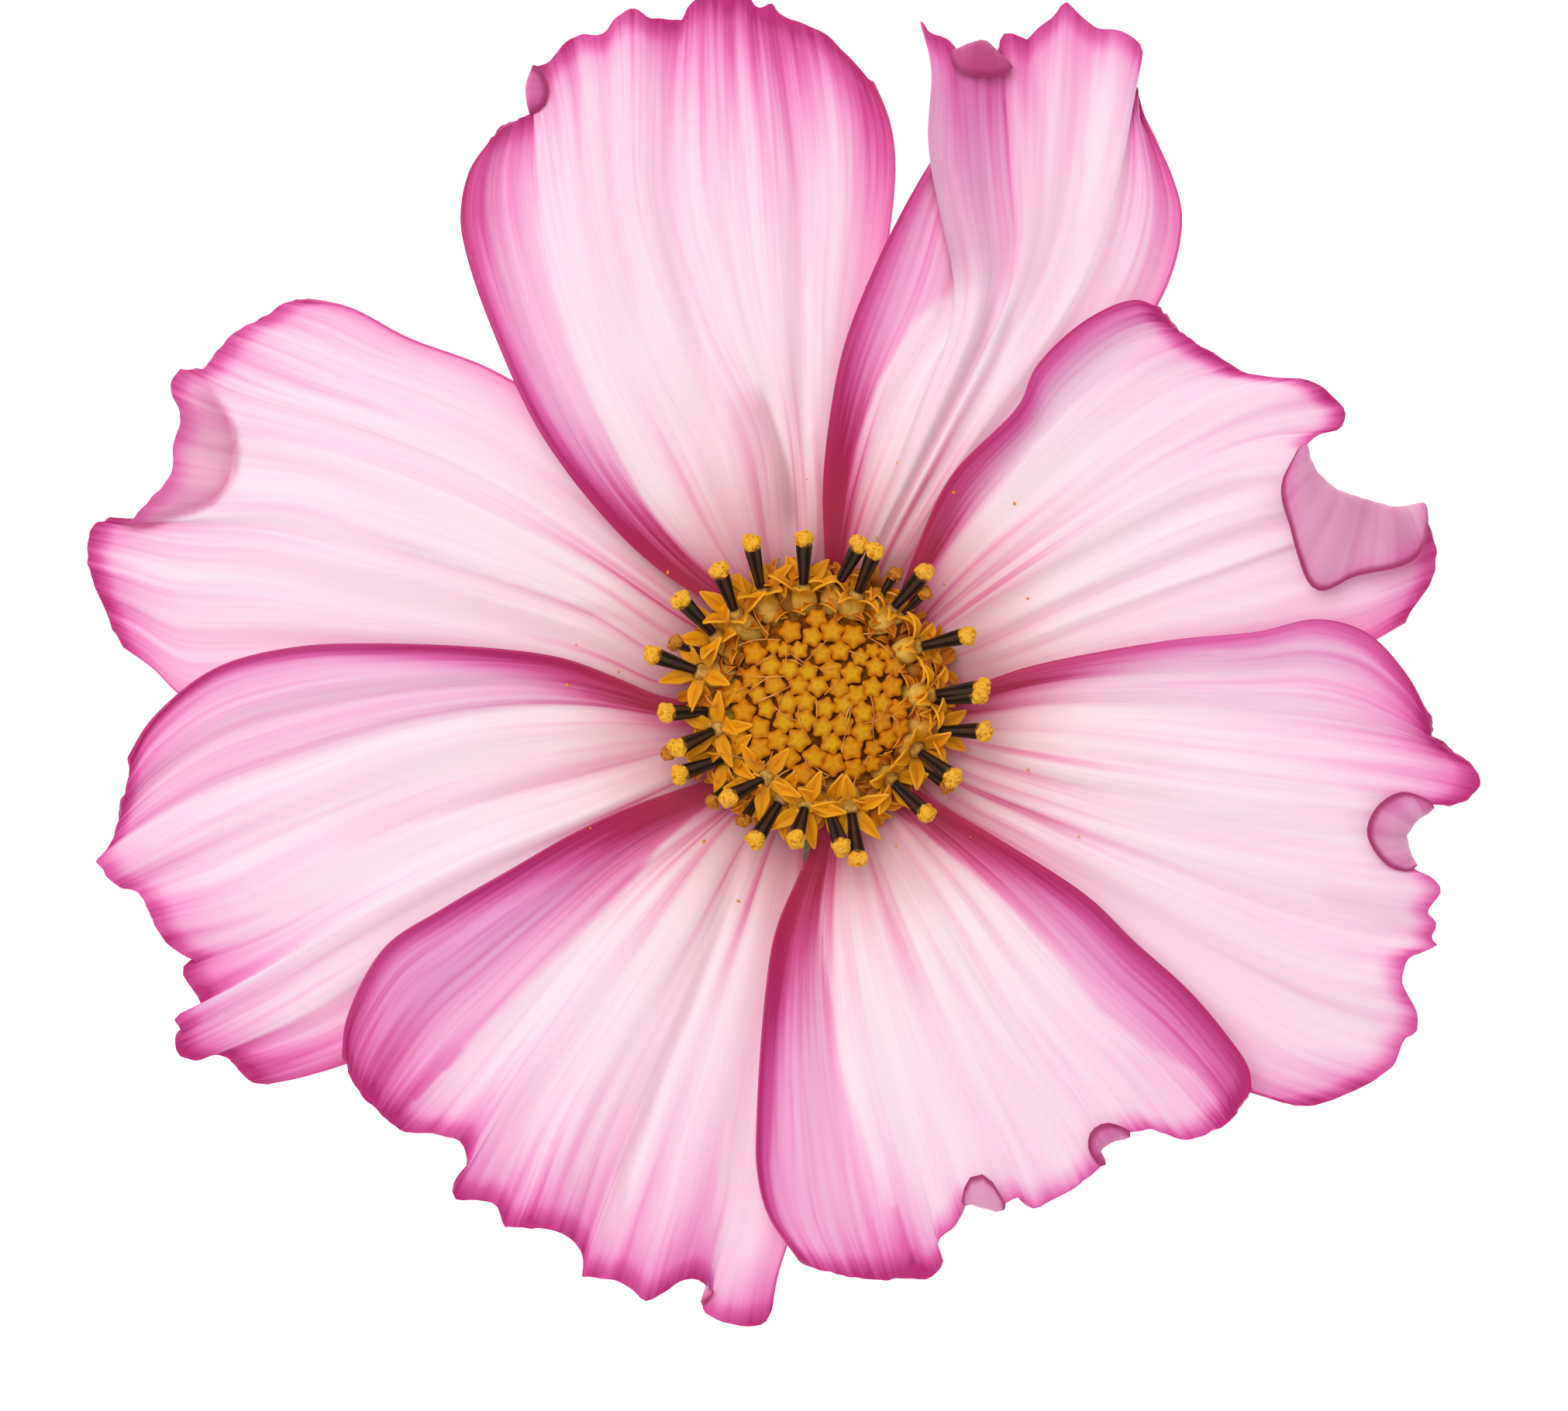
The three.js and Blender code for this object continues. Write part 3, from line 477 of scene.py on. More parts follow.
# Crimson down its left margin, with a small rolled-over shoulder.
PETALS["petal_top"] = {
    "foot": 112.5,
    "ribs": [
        (0, 1.6, [
            (-8.4, 6.7), (-12, 9.9), (-15.9, 15), (-18.3, 20), (-20.1, 25), (-20.5, 27.4), (-20, 30),
            (-18.8, 31.8),
        ]),
        (0.2, 0.1, [
            (-6.1, 7.2), (-10.4, 12.5), (-12.8, 17.2), (-15.3, 23.8), (-16.3, 29.5), (-16.35, 33.4),
        ]),
        (0.26, 0.35, [
            (-5.5, 7.4), (-9.1, 13), (-11.7, 18), (-13.9, 24), (-15, 29.5), (-15.5, 33.4), (-16.2, 36.1),
        ]),
        (0.55, 0.3, [(-2.5, 8.4), (-3.3, 15), (-6.3, 21.5), (-8.3, 28), (-8.3, 33.5), (-7.9, 38.8)]),
        (0.82, 0.2, [(-0.4, 8.9), (-0.8, 16), (-1.1, 24), (-1.1, 30), (-2.4, 39.2)]),
        (1, -0.75, [(1.4, 9), (1.9, 14), (2.9, 20), (3.8, 25), (4.35, 30.5), (4, 33), (3, 35.2)]),
    ],
    "ends": [
        [(-17.6, 32.8), (-16.5, 33.4)],
        [(-16.45, 34.7)],
        [
            (-15.3, 36.5), (-14.5, 37.5), (-13.6, 38), (-12.5, 38), (-11.4, 39.1), (-10.6, 39.4),
            (-9.7, 38.9),
        ],
        [(-7.4, 39.7), (-6.4, 40.2), (-5.1, 40.1), (-4.2, 40.3), (-3.5, 39.5), (-2.7, 39.7)],
        [(-1.3, 38.7), (0.1, 38.1), (1.2, 37.2), (2.2, 36.2)],
    ],
    "flaps": [(0.2, 0.26, [(-15.7, 33.9), (-15.5, 34.8), (-15.9, 35.6)], 0.35)],
    "bands": [
        (0, 0.7, [
            (-6, 6), (-7.5, 7.9), (-8.8, 9.5), (-10, 11.3), (-11.5, 14.1), (-13, 17), (-14.3, 20.4),
            (-15.2, 23.3), (-16, 27), (-16.2, 30), (-16, 32.5),
        ]),
    ],
    "tips": [
        (0, 4, 0.5), (0.1, 5, 0.75), (0.2, 4, 0.8), (0.3, 4.5, 0.8), (0.45, 4, 0.7), (0.55, 6.5, 0.9),
        (0.7, 9, 1), (0.85, 9, 1), (1, 8, 1),
    ],
    "sides": [
        [(0, 1, 0.3), (0.5, 0.8, 0.5), (0.75, 1.4, 0.85), (0.85, 3, 0.9), (1, 3, 0.9)],
        [(0, 0.5, 0), (0.4, 0.8, 0.25), (0.65, 1.5, 0.6), (0.8, 2.2, 0.85), (0.92, 3.5, 1), (1, 4, 1)],
    ],
    "folds": [
        ([(-5, 10.5), (-6.5, 18), (-8, 25), (-8.5, 30), (-7.8, 38.7)], 0.7, 0.3, 0.12),
        ([(-1, 10), (-1, 20), (-1, 30), (-2.6, 38)], 0.6, 0.3, 0.12),
        ([(-1.2, 9), (-1.5, 11), (-1.9, 13), (-2.5, 15), (-3.6, 18)], 0.8, 0.5, 0.5),
        ([(-10, 20), (-12, 30), (-11.5, 36)], 0.5, 0.2, 0.06),
    ],
}

# Pinched up into a long ridge, with a curled lip in the notch at its end.
PETALS["petal_upper_right"] = {
    "foot": 67.5,
    "ribs": [
        (0, 1.0, [
            (0.3, 8.6), (0.2, 12), (0.6, 16), (1.4, 20), (3.1, 24.4), (5.1, 28.4), (7, 31.6), (7.9, 33),
        ]),
        (0.28, -0.1, [(2.1, 8.8), (3.6, 13), (5.7, 17.6), (8.2, 21.6), (9.3, 25), (9.5, 30), (9.1, 35.6)]),
        (0.36, 0.5, [
            (2.5, 8.75), (4.3, 13.1), (6.1, 17.6), (7.7, 21.3), (8.1, 23.8), (7.3, 28.3), (6.9, 32),
            (7.1, 35.7),
        ]),
        (0.4, 1.5, [
            (2.8, 8.7), (4.6, 13), (6.3, 17.6), (7.5, 21.2), (7.6, 23.6), (6.6, 28), (6, 32), (6.3, 36),
            (5.75, 38.6),
        ]),
        (0.46, 1.8, [
            (3.1, 8.6), (5.3, 13.2), (7.4, 18), (8.8, 21.8), (9, 24.4), (8.2, 28.6), (7.8, 32.5),
            (7.65, 36.6),
        ]),
        (0.55, 1.2, [
            (3.6, 8.5), (6.3, 13.6), (8.8, 18.4), (10.7, 22.4), (11.2, 25.4), (10.9, 29), (10.7, 33),
            (10.6, 36.2),
        ]),
        (0.78, 0.5, [
            (4.9, 8.2), (8.9, 14.4), (12.7, 19.6), (15.4, 24.2), (17, 29), (17.7, 33), (18, 35.1),
        ]),
        (1, -0.7, [
            (6.7, 8.2), (10.4, 12.4), (14.6, 16.9), (18.5, 21), (20.3, 24.5), (20.8, 27.6), (20.3, 29.7),
            (19.4, 31.7), (18.5, 33.2), (18.1, 34.4),
        ]),
    ],
    "ends": [
        [],
        [],
        [],
        [(6.35, 38.05), (7.3, 37.5), (7.6, 37)],
        [(8.3, 36.75), (8.9, 36.9), (9.5, 36.9), (10, 36.6)],
        [
            (10.3, 37.3), (10.5, 37.9), (11.2, 37.9), (11.9, 37.6), (12.4, 38.2), (12.9, 38.6),
            (13.4, 38.9), (14.1, 39.8), (14.8, 39.2), (15.8, 38.3), (16.8, 38.25), (17.8, 37.9),
            (18.5, 37.1), (18.4, 36),
        ],
        [],
    ],
    "flaps": [(0.46, 0.55, [(7.8, 35.7), (8.5, 35.4), (9.4, 35.3), (10.3, 35.4), (10.9, 35.7)], 0.6)],
    "bands": [
        (0, 1.0, [
            (0.9, 8.6), (1.1, 10), (2, 14), (3.5, 18), (5.5, 21.3), (7.5, 23), (8.7, 27), (9.2, 33),
            (9.2, 36),
        ], 0.3),
    ],
    "tips": [
        (0, 3, 0.5), (0.28, 4, 0.5), (0.4, 6, 0.9), (0.46, 14, 1), (0.55, 13, 1), (0.62, 6, 0.7),
        (0.72, 5, 0.65), (0.78, 4, 0.7), (0.85, 7, 0.7), (1, 7, 0.7),
    ],
    "sides": [[(0, 1, 0.5), (1, 1, 0.7)], [(0, 0.5, 0.1), (0.5, 1, 0.4), (0.75, 2, 0.7), (1, 2.5, 0.8)]],
    "folds": [
        ([
            (3.6, 9), (5, 11.8), (7, 15.2), (8.5, 18), (9.5, 20), (9.9, 22.5), (10, 25), (9.8, 28),
            (9.2, 31), (8.8, 34),
        ], 0.5, 0.3, 0.15),
        ([(6.2, 37), (6.1, 32), (6.8, 28), (7.7, 24.5), (7.6, 22.5)], 0.5, 0, 0.65, 3.4),
        ([(4.5, 9), (8, 14.5), (10, 18.5), (12, 25)], 0.4, 0.2, 0.12),
        ([(11.5, 19), (13, 21.5), (14.5, 25), (15, 30), (15, 38)], 0.6, 0.3, 0.12),
        ([(15.5, 22), (17, 27), (17.8, 33), (18, 34.5)], 0.5, -0.2, 0.15),
    ],
}

# Wide and pale, with the middle of its end rolled over.
PETALS["petal_right_upper"] = {
    "foot": 22.5,
    "ribs": [
        (0, 1.7, [
            (5.4, 7.9), (7.5, 12.5), (11.4, 16.6), (12.4, 18.8), (15.3, 21.5), (18, 22.6), (19.3, 22.2),
        ]),
        (0.17, 0.15, [(6.7, 6.9), (10.4, 11.6), (14.4, 16), (18, 19), (21.3, 20.4)]),
        (0.45, 0.7, [(8.3, 4.9), (14, 8.8), (20, 12.4), (24.5, 14), (27.7, 14.2)]),
        (0.8, 0.1, [(8.8, 1.7), (16, 4.4), (24, 7.2), (30, 9.4), (34.6, 10.8)]),
        (1, -0.75, [(8.4, -0.3), (13, 0.3), (20, 1.5), (26, 2), (30, 2.4), (33.6, 4.3)]),
    ],
    "ends": [
        [(20.4, 21)],
        [
            (22.6, 19.6), (24, 18.7), (25.6, 18.3), (27.8, 18.1), (29.3, 17.2), (30.1, 16.2), (29.8, 15.3),
            (28.6, 15),
        ],
        [(27.8, 12.8), (29.2, 11.3), (31, 10.7), (33, 10.2)],
        [(35, 9.8), (35.4, 8), (34.9, 6.2), (34.1, 5.1)],
    ],
    "flaps": [
        (0.45, 0.8, [(26.4, 11.7), (26.7, 10.1), (28.3, 6.1), (30.5, 6.8), (33.9, 7.8), (34.6, 9.5)], 0),
    ],
    "bands": [(0, 0.5, [(6.2, 7.2), (8, 9), (10, 11.3), (12, 14), (14.5, 16.6), (17.5, 18.6), (20, 19.6)])],
    "tips": [
        (0, 1.2, 0.95), (0.17, 1.3, 0.95), (0.3, 1.2, 0.9), (0.4, 1.5, 0.8), (0.45, 2, 0.6), (0.55, 3, 0.4),
        (0.7, 3, 0.4), (0.8, 3, 0.75), (0.9, 4, 0.75), (1, 3.5, 0.8),
    ],
    "sides": [
        [(0, 1, 0.6), (0.5, 1.2, 0.8), (1, 1.3, 0.95)],
        [(0, 0.6, 0.1), (0.5, 0.8, 0.3), (0.8, 1.2, 0.6), (1, 2, 0.8)],
    ],
    "folds": [
        ([(8.6, 4), (15, 7.6), (21, 10.6), (26, 12.6)], 0.6, 0.2, 0.06),
        ([(8, 5.4), (13, 9.6), (18.5, 14), (24, 16.8)], 0.6, 0.2, 0.08),
    ],
}

# Mauve along its upper margin, with one lobe rolled over and a ragged end.
PETALS["petal_right"] = {
    "foot": -22.5,
    "ribs": [
        (0, 1.2, [
            (8.8, 0.6), (12, 1.7), (20, 3.2), (25, 3.7), (28.5, 4.4), (31.3, 3.6), (33.6, 1.2), (34.8, -1),
        ]),
        (0.22, 0, [(8.9, -1.1), (14, -0.6), (22, -0.9), (29, -1.5), (33, -2.2), (36, -3.1)]),
        (0.4, 0.75, [(8.8, -2.7), (16, -4), (24, -5), (30, -5.6), (35, -6.2)]),
        (0.55, 0.35, [(8.4, -3.9), (16, -6.4), (24, -8.4), (30, -9.5), (34, -9.8)]),
        (1, -0.75, [
            (5.9, -7.1), (9.5, -9.9), (13, -13), (16.5, -16.4), (20, -19.8), (23, -22), (26.6, -23.3),
        ]),
    ],
    "ends": [
        [(35.1, -2.3)],
        [(37.4, -3.9), (37.9, -5), (37.2, -5.8), (36.2, -6.2)],
        [(33.6, -7), (33.15, -8), (33.4, -9.1)],
        [
            (35.6, -11), (34.8, -12.4), (35.4, -13), (35.1, -13.9), (35.5, -14.3), (33.9, -14.9),
            (33.4, -16.2), (34.4, -18.6), (34.3, -19.3), (33.6, -19.7), (33, -21.1), (31.6, -22.2),
            (30.1, -22.9), (28.3, -23.5),
        ],
    ],
    "flaps": [(0.4, 0.55, [(33.2, -5.5), (31.8, -6.4), (31.3, -7.8), (32.3, -9.5), (33.2, -9.9)], 0.15)],
    "bands": [
        (0, 0.32, [
            (8.5, -0.9), (10, -0.65), (13, -0.5), (17, -0.6), (21, -0.9), (26, -1.3), (30, -1.8),
            (33, -2.3), (35.2, -2.9),
        ]),
    ],
    "tips": [
        (0, 4.5, 1), (0.22, 6, 1), (0.3, 6.5, 1), (0.36, 5, 1), (0.4, 1.2, 0.6), (0.55, 1.2, 0.4),
        (0.65, 1.5, 0.6), (0.75, 1.5, 0.55), (0.85, 3, 0.65), (1, 3.5, 0.7),
    ],
    "sides": [
        [(0, 1, 0.5), (0.5, 1, 0.6), (0.8, 1.6, 0.85), (1, 2, 0.9)],
        [(0, 0.5, 0.1), (0.6, 0.8, 0.3), (1, 2, 0.7)],
    ],
    "folds": [
        ([(8.2, -2.6), (15, -3.4), (22, -4.4)], 0.4, 0.2, 0.1),
        ([(8.2, -3.5), (14, -5), (22, -6.3)], 0.4, 0.2, 0.1),
        ([(8.4, -4.6), (15, -6.7), (22, -8.3), (28, -9.6)], 0.4, 0.2, 0.1),
        ([(8.5, -5.5), (15, -8.6)], 0.4, 0.2, 0.1),
        ([(28, -11.5), (35, -13.8)], 0.6, 0.2, 0.1),
    ],
}

# Short, dark along both margins, with two small ruffles rolled over.
PETALS["petal_lower_right"] = {
    "foot": -67.5,
    "ribs": [
        (0, 1.5, [
            (6.4, -5.9), (10, -8), (15.3, -11.4), (18, -14), (21, -16.7), (23, -19), (24.5, -21.2),
            (24.7, -22.5),
        ]),
        (0.2, 0.1, [(5.6, -7), (9.4, -10.6), (12.4, -14.2), (15.4, -17.4), (18.6, -20.2), (22.8, -24.8)]),
        (0.48, 0.6, [(3.6, -8), (7, -14), (10.6, -20.4), (13.4, -25), (14.9, -27.9)]),
        (0.78, 0.1, [(1, -8.7), (0.9, -14), (1.7, -21), (3, -26.6), (4.6, -33.3)]),
        (1, 1.3, [
            (-0.4, -8.6), (-2.4, -13.4), (-3, -17), (-3.5, -24), (-3.5, -27), (-2.9, -29.5), (-1.2, -32),
        ]),
    ],
    "ends": [
        [(24.2, -23.1), (23.6, -24.2)],
        [(20.8, -25.4), (19.2, -24.8), (17.6, -25), (16.4, -25.2), (15.8, -25.9), (16.1, -26.8)],
        [
            (12.2, -29.3), (11.5, -28.6), (10.3, -29.1), (9.6, -28.8), (8.4, -28.8), (7.9, -30.2),
            (6.8, -31.2), (7.1, -32.5), (6.3, -33.3),
        ],
        [(3, -33.4), (1, -33), (-0.2, -32.7)],
    ],
    "flaps": [
        (0.35, 0.43, [(17, -24.6), (16.2, -24.4), (15.5, -24.9), (15.4, -25.8)], 0.1),
        (0.59, 0.634, [(9.85, -27.8), (9.4, -27.3), (8.9, -27.25), (8.5, -27.8)], 0.1),
    ],
    "bands": [
        (0, 1.0, [
            (5.5, -7.5), (8.5, -9.9), (11, -12.3), (13.2, -14.8), (16, -18), (19, -20.3), (21.5, -21.6),
            (23, -23.3),
        ]),
        (1, 1.0, [
            (0.3, -9), (0.1, -12), (0.3, -15), (0.9, -18), (1.3, -21), (2.2, -24), (3.2, -26.5), (4, -28.5),
        ]),
    ],
    "tips": [
        (0, 2.2, 1), (0.1, 2, 1), (0.2, 1.5, 0.75), (0.3, 1.2, 0.5), (0.4, 1, 0.6), (0.48, 1, 0.5),
        (0.6, 1, 0.35), (0.7, 1.5, 0.6), (0.76, 4, 0.95), (0.84, 3, 0.9), (0.9, 1.5, 0.7), (1, 2, 0.8),
    ],
    "sides": [
        [(0, 0.8, 0.6), (0.4, 1, 0.8), (0.62, 2, 1), (0.8, 3.4, 1), (1, 3.6, 1)],
        [(0, 0.8, 0.5), (0.6, 0.7, 0.7), (1, 1.2, 0.85)],
    ],
    "folds": [
        ([(3, -9), (4, -12.5), (5.5, -17)], 0.4, -0.2, 0.0),
        ([(4, -9), (6, -13), (9, -18)], 0.4, -0.2, 0.0),
        ([(6.5, -8), (9, -10.8)], 0.4, -0.2, 0.0),
        ([(17, -16.8), (20.5, -20), (23.2, -22.3)], 0.5, -0.2, 0.0),
    ],
}

# Creased lengthwise, with its end cut into uneven lobes.
PETALS["petal_lower_left"] = {
    "foot": -112.5,
    "ribs": [
        (0, -0.75, [
            (-0.9, -8.7), (-1, -14), (-1.4, -20), (-1.6, -26), (-1.5, -30), (-2.4, -33.4), (-2.7, -35.2),
        ]),
        (0.3, 0.25, [
            (-3.2, -8.3), (-5.4, -13.4), (-8, -19.6), (-10.6, -25.6), (-12.2, -29.6), (-13.6, -33.3),
        ]),
        (0.52, 0.65, [(-4.9, -7.6), (-8.4, -13), (-12.4, -19), (-15.6, -24.4), (-18, -30.4)]),
        (0.72, 0.15, [
            (-6, -6.9), (-10.5, -10.4), (-14.2, -14.2), (-18, -18.6), (-21.6, -22.6), (-23.8, -25),
        ]),
        (1, 1.4, [
            (-7.4, -5.2), (-10.5, -6.3), (-14, -7.9), (-17.5, -9.9), (-21.5, -12.2), (-24.8, -14.4),
            (-26.9, -18.4), (-27.1, -20.4),
        ]),
    ],
    "ends": [
        [
            (-3.2, -36), (-5, -36), (-6.7, -35.2), (-6.1, -34.3), (-7.3, -33.3), (-8.8, -34.1),
            (-9.9, -34.6), (-11.4, -33.5),
        ],
        [(-13.6, -31.9), (-15, -30.6)],
        [(-18.6, -29.1), (-20.9, -28.6), (-20.2, -26.8), (-20.4, -25.6), (-21.8, -25.1)],
        [(-25.1, -23.9), (-26.7, -22)],
    ],
    "flaps": [],
    "bands": [
        (1, 1.2, [
            (-7, -6.8), (-9, -8.6), (-10.5, -10.5), (-12.5, -12.6), (-14.5, -14.6), (-17, -17), (-20, -20),
        ]),
    ],
    "tips": [
        (0, 4, 0.7), (0.1, 5, 0.7), (0.2, 6.5, 0.75), (0.3, 6.5, 0.85), (0.4, 5.5, 0.8), (0.52, 5.5, 0.8),
        (0.62, 5, 0.75), (0.72, 4, 0.85), (0.85, 3.5, 0.95), (1, 3, 0.95),
    ],
    "sides": [
        [(0, 0.5, 0), (0.5, 0.8, 0.2), (0.85, 1, 0.5), (1, 1.6, 0.9)],
        [(0, 1, 0.6), (0.5, 0.9, 0.8), (0.8, 1.4, 0.95), (1, 2.2, 1)],
    ],
    "folds": [
        ([
            (-12, -32), (-11.3, -30), (-11, -27), (-10, -24.5), (-9, -21.5), (-7.5, -18), (-6, -14),
            (-5.2, -11.5), (-4.4, -8.6),
        ], 0.5, 0.35, 0.3),
    ],
}

# Mauve along its upper margin, with a small notch in its end.
PETALS["petal_left_lower"] = {
    "foot": -157.5,
    "ribs": [
        (0, -0.75, [
            (-6.4, -6.3), (-10, -8.7), (-14, -11.4), (-18, -14.5), (-22, -17.9), (-26, -20.6),
            (-29.4, -21.8), (-31.7, -22.3),
        ]),
        (0.32, 0.5, [(-7.9, -4.3), (-14, -7), (-20, -9.4), (-27, -12.8), (-32, -15.7), (-36.95, -18.5)]),
        (0.45, 0.1, [(-8.4, -3.2), (-14, -4.8), (-20, -6.4), (-27, -9.4), (-33, -12.2), (-38, -13.3)]),
        (0.66, 0.2, [
            (-8.8, -1.3), (-13, -0.9), (-18, -1), (-24, -2.1), (-30, -4.1), (-36, -6.4), (-41.5, -9.5),
        ]),
        (1, 1.4, [
            (-9, -0.1), (-11.5, 0.9), (-14.5, 2), (-18, 2.55), (-25, 2.9), (-30, 2.7), (-34.5, 1.5),
            (-38, -1.3), (-39.4, -3.6),
        ]),
    ],
    "ends": [
        [
            (-32.7, -22.1), (-33.5, -21.2), (-34.5, -20.6), (-35.8, -20.9), (-36.8, -20.5), (-36.9, -19.6),
            (-36.6, -19.3),
        ],
        [
            (-36.5, -18.1), (-35.8, -18.2), (-35.5, -17.8), (-35.7, -17.2), (-36.5, -16), (-36.5, -15.5),
            (-35.7, -15.3), (-36.5, -14.8), (-37.5, -14),
        ],
        [(-39.1, -11.3), (-40.3, -10.9)],
        [(-40.6, -8.3), (-40, -6.6), (-39.6, -4.8)],
    ],
    "flaps": [],
    "bands": [
        (1, 0.62, [
            (-9, -0.9), (-11, -0.7), (-14, -0.55), (-17, -0.65), (-20, -1.1), (-23, -1.7), (-26, -2.6),
            (-30, -3.9), (-34, -5.4), (-37.5, -7), (-41, -8.8),
        ]),
    ],
    "tips": [
        (0, 3, 0.8), (0.1, 4, 0.95), (0.2, 5, 1), (0.32, 6, 0.95), (0.38, 5, 0.8), (0.45, 4, 0.6),
        (0.55, 4, 0.55), (0.66, 3.5, 0.6), (0.75, 3, 0.75), (0.9, 3, 0.85), (1, 3, 0.9),
    ],
    "sides": [
        [(0, 0.5, 0.1), (0.5, 0.8, 0.2), (0.75, 1.6, 0.6), (0.85, 2.4, 0.9), (1, 2.6, 0.9)],
        [(0, 0.8, 0.6), (0.5, 0.7, 0.8), (0.8, 1, 0.9), (1, 1.6, 0.95)],
    ],
    "folds": [
        ([(-28, -9), (-24, -7.2), (-20, -6.1), (-15, -4.8), (-12, -4), (-9.2, -3.4)], 0.45, 0.3, 0.22),
    ],
}

# The broadest, pale, with a curved crease inside its end.
PETALS["petal_left_upper"] = {
    "foot": 157.5,
    "ribs": [
        (0, -0.8, [
            (-8.8, -1.2), (-12, -0.5), (-17, 0.1), (-23, 0.2), (-30, -0.1), (-36, -0.3), (-38.4, 1.7),
            (-40, 2.8),
        ]),
        (0.42, 0.45, [(-8.9, 2.4), (-13, 4.8), (-18, 6.7), (-25, 8.7), (-31, 10.2), (-39.5, 9.9)]),
        (0.7, 0.1, [(-8, 4.9), (-14, 9), (-21, 13), (-28, 15.6), (-34, 17.4), (-36.7, 18.8)]),
        (1, -0.75, [
            (-6, 7.3), (-9.5, 11), (-12.5, 14.2), (-15.3, 16.6), (-19, 18.8), (-23.5, 20.5), (-27, 22.3),
            (-29.4, 22.7),
        ]),
    ],
    "ends": [
        [(-40.9, 4.6), (-42, 7.8), (-41.6, 9.9)],
        [(-38.6, 11), (-37.3, 12.6), (-37, 14.6), (-36.6, 16), (-37.2, 17.9)],
        [(-35.4, 18.8), (-34, 20.5), (-31.9, 21.8), (-30.6, 22.6)],
    ],
    "flaps": [],
    "bands": [],
    "tips": [
        (0, 3, 0.6), (0.15, 3.5, 0.9), (0.3, 3.5, 0.9), (0.42, 3, 0.8), (0.55, 2, 0.6), (0.68, 3, 0.7),
        (0.8, 3.5, 0.75), (0.9, 3, 0.7), (1, 3, 0.7),
    ],
    "sides": [
        [(0, 0.5, 0.05), (0.6, 0.8, 0.2), (0.85, 1.5, 0.5), (1, 2.5, 0.6)],
        [(0, 0.8, 0.3), (0.4, 1.5, 0.45), (0.75, 2, 0.5), (1, 2, 0.6)],
    ],
    "folds": [
        ([(-9, 4), (-15, 5), (-20, 6.8), (-27, 9.3)], 0.4, 0.25, 0.15),
        ([
            (-40, 9.3), (-38, 10), (-36, 10.6), (-34.8, 11.1), (-34.1, 12), (-33.6, 13), (-33.45, 14.3),
            (-33.6, 15.2), (-34, 16), (-34.8, 17.2), (-35.5, 18.2), (-36.4, 18.6),
        ], 0.3, 0.45, 0.8, 5),
    ],
}


def curve_points(points, shares):
    """Points at shares of the length of the curve that runs through the given ones."""
    p = np.array(points, float)
    ends = np.vstack([2 * p[0] - p[1], p, 2 * p[-1] - p[-2]])
    step = np.linalg.norm(np.diff(ends, axis=0), axis=1) ** 0.5

    def at(t):
        k = np.minimum(t.astype(int), len(p) - 2)
        w = (t - k)[:, None]
        p0, p1, p2, p3 = (ends[k + i] for i in range(4))
        d0, d1, d2 = (step[k + i][:, None] for i in range(3))
        m1 = ((p1 - p0) / d0 - (p2 - p0) / (d0 + d1) + (p2 - p1) / d1) * d1
        m2 = ((p2 - p1) / d1 - (p3 - p1) / (d1 + d2) + (p3 - p2) / d2) * d1
        return p1 + w * (m1 + w * ((3 * (p2 - p1) - 2 * m1 - m2) + w * (2 * (p1 - p2) + m1 + m2)))

    fine = at(np.linspace(0, len(p) - 1, 201))
    lengths = np.concatenate([[0], np.cumsum(np.linalg.norm(np.diff(fine, axis=0), axis=1))])
    return at(np.interp(np.array(shares) * lengths[-1], lengths, np.linspace(0, len(p) - 1, 201)))


def smooth(t):
    """A share that starts and ends softly."""
    return t * t * (3 - 2 * t)


def dome_height(radius):
    """The bloom's dome: it rises from the claws to a crest and droops at the petals' ends."""
    droop = CREST_RISE - TIP_DROOP * ((radius - CREST_RADIUS) / DROOP_REACH) ** 2
    fall = (CREST_RADIUS - radius) / (CREST_RADIUS - CLAW_RADIUS)
    return CLAW_Z + np.where(radius > CREST_RADIUS, droop, CREST_RISE * (1 - fall * fall))


def beside(x, y, line):
    """How far points lie from a drawn line, more than 0 on its left, and how far along it."""
    distance = np.full(x.shape, 1e9)
    share = np.zeros(x.shape)
    line = np.array(line, float)
    lengths = np.linalg.norm(np.diff(line, axis=0), axis=1)
    before = np.concatenate([[0], np.cumsum(lengths)])
    for i, run in enumerate(np.diff(line, axis=0) / lengths[:, None]):
        dx, dy = x - line[i, 0], y - line[i, 1]
        along = np.clip(dx * run[0] + dy * run[1], 0, lengths[i])
        away = np.hypot(dx - along * run[0], dy - along * run[1])
        side = np.sign(run[0] * dy - run[1] * dx)
        nearer = away < np.abs(distance)
        distance = np.where(nearer, away * np.where(side == 0, 1, side), distance)
        share = np.where(nearer, (before[i] + along) / before[-1], share)
    return distance, share


def waves(place, seed, lowest, highest, count):
    """A seeded mix of sine waves, about -1 to 1."""
    chance = np.random.default_rng(seed)
    total = np.zeros_like(place)
    for frequency in np.geomspace(lowest, highest, count):
        turn = chance.uniform(0, 2 * np.pi)
        total += np.sin(2 * np.pi * frequency * chance.uniform(0.85, 1.15) * place + turn)
    return total / math.sqrt(count)


def run_length(points, axis):
    """The length run along the rows or columns of a sheet's points, up to each point."""
    steps = np.linalg.norm(np.diff(points, axis=axis), axis=2)
    start = np.zeros_like(np.take(steps, [0], axis=axis))
    return np.concatenate([start, np.cumsum(steps, axis=axis)], axis=axis)


def broad_run(offsets, reach):
    """The same offsets without their small notches, still 0 at both ends."""
    padded = np.concatenate([-offsets[reach:0:-1], offsets, -offsets[-2 : -reach - 2 : -1]])
    weights = np.hanning(2 * reach + 3)[1:-1]
    weights /= weights.sum()
    return sum(weight * padded[i : i + len(offsets)] for i, weight in enumerate(weights))


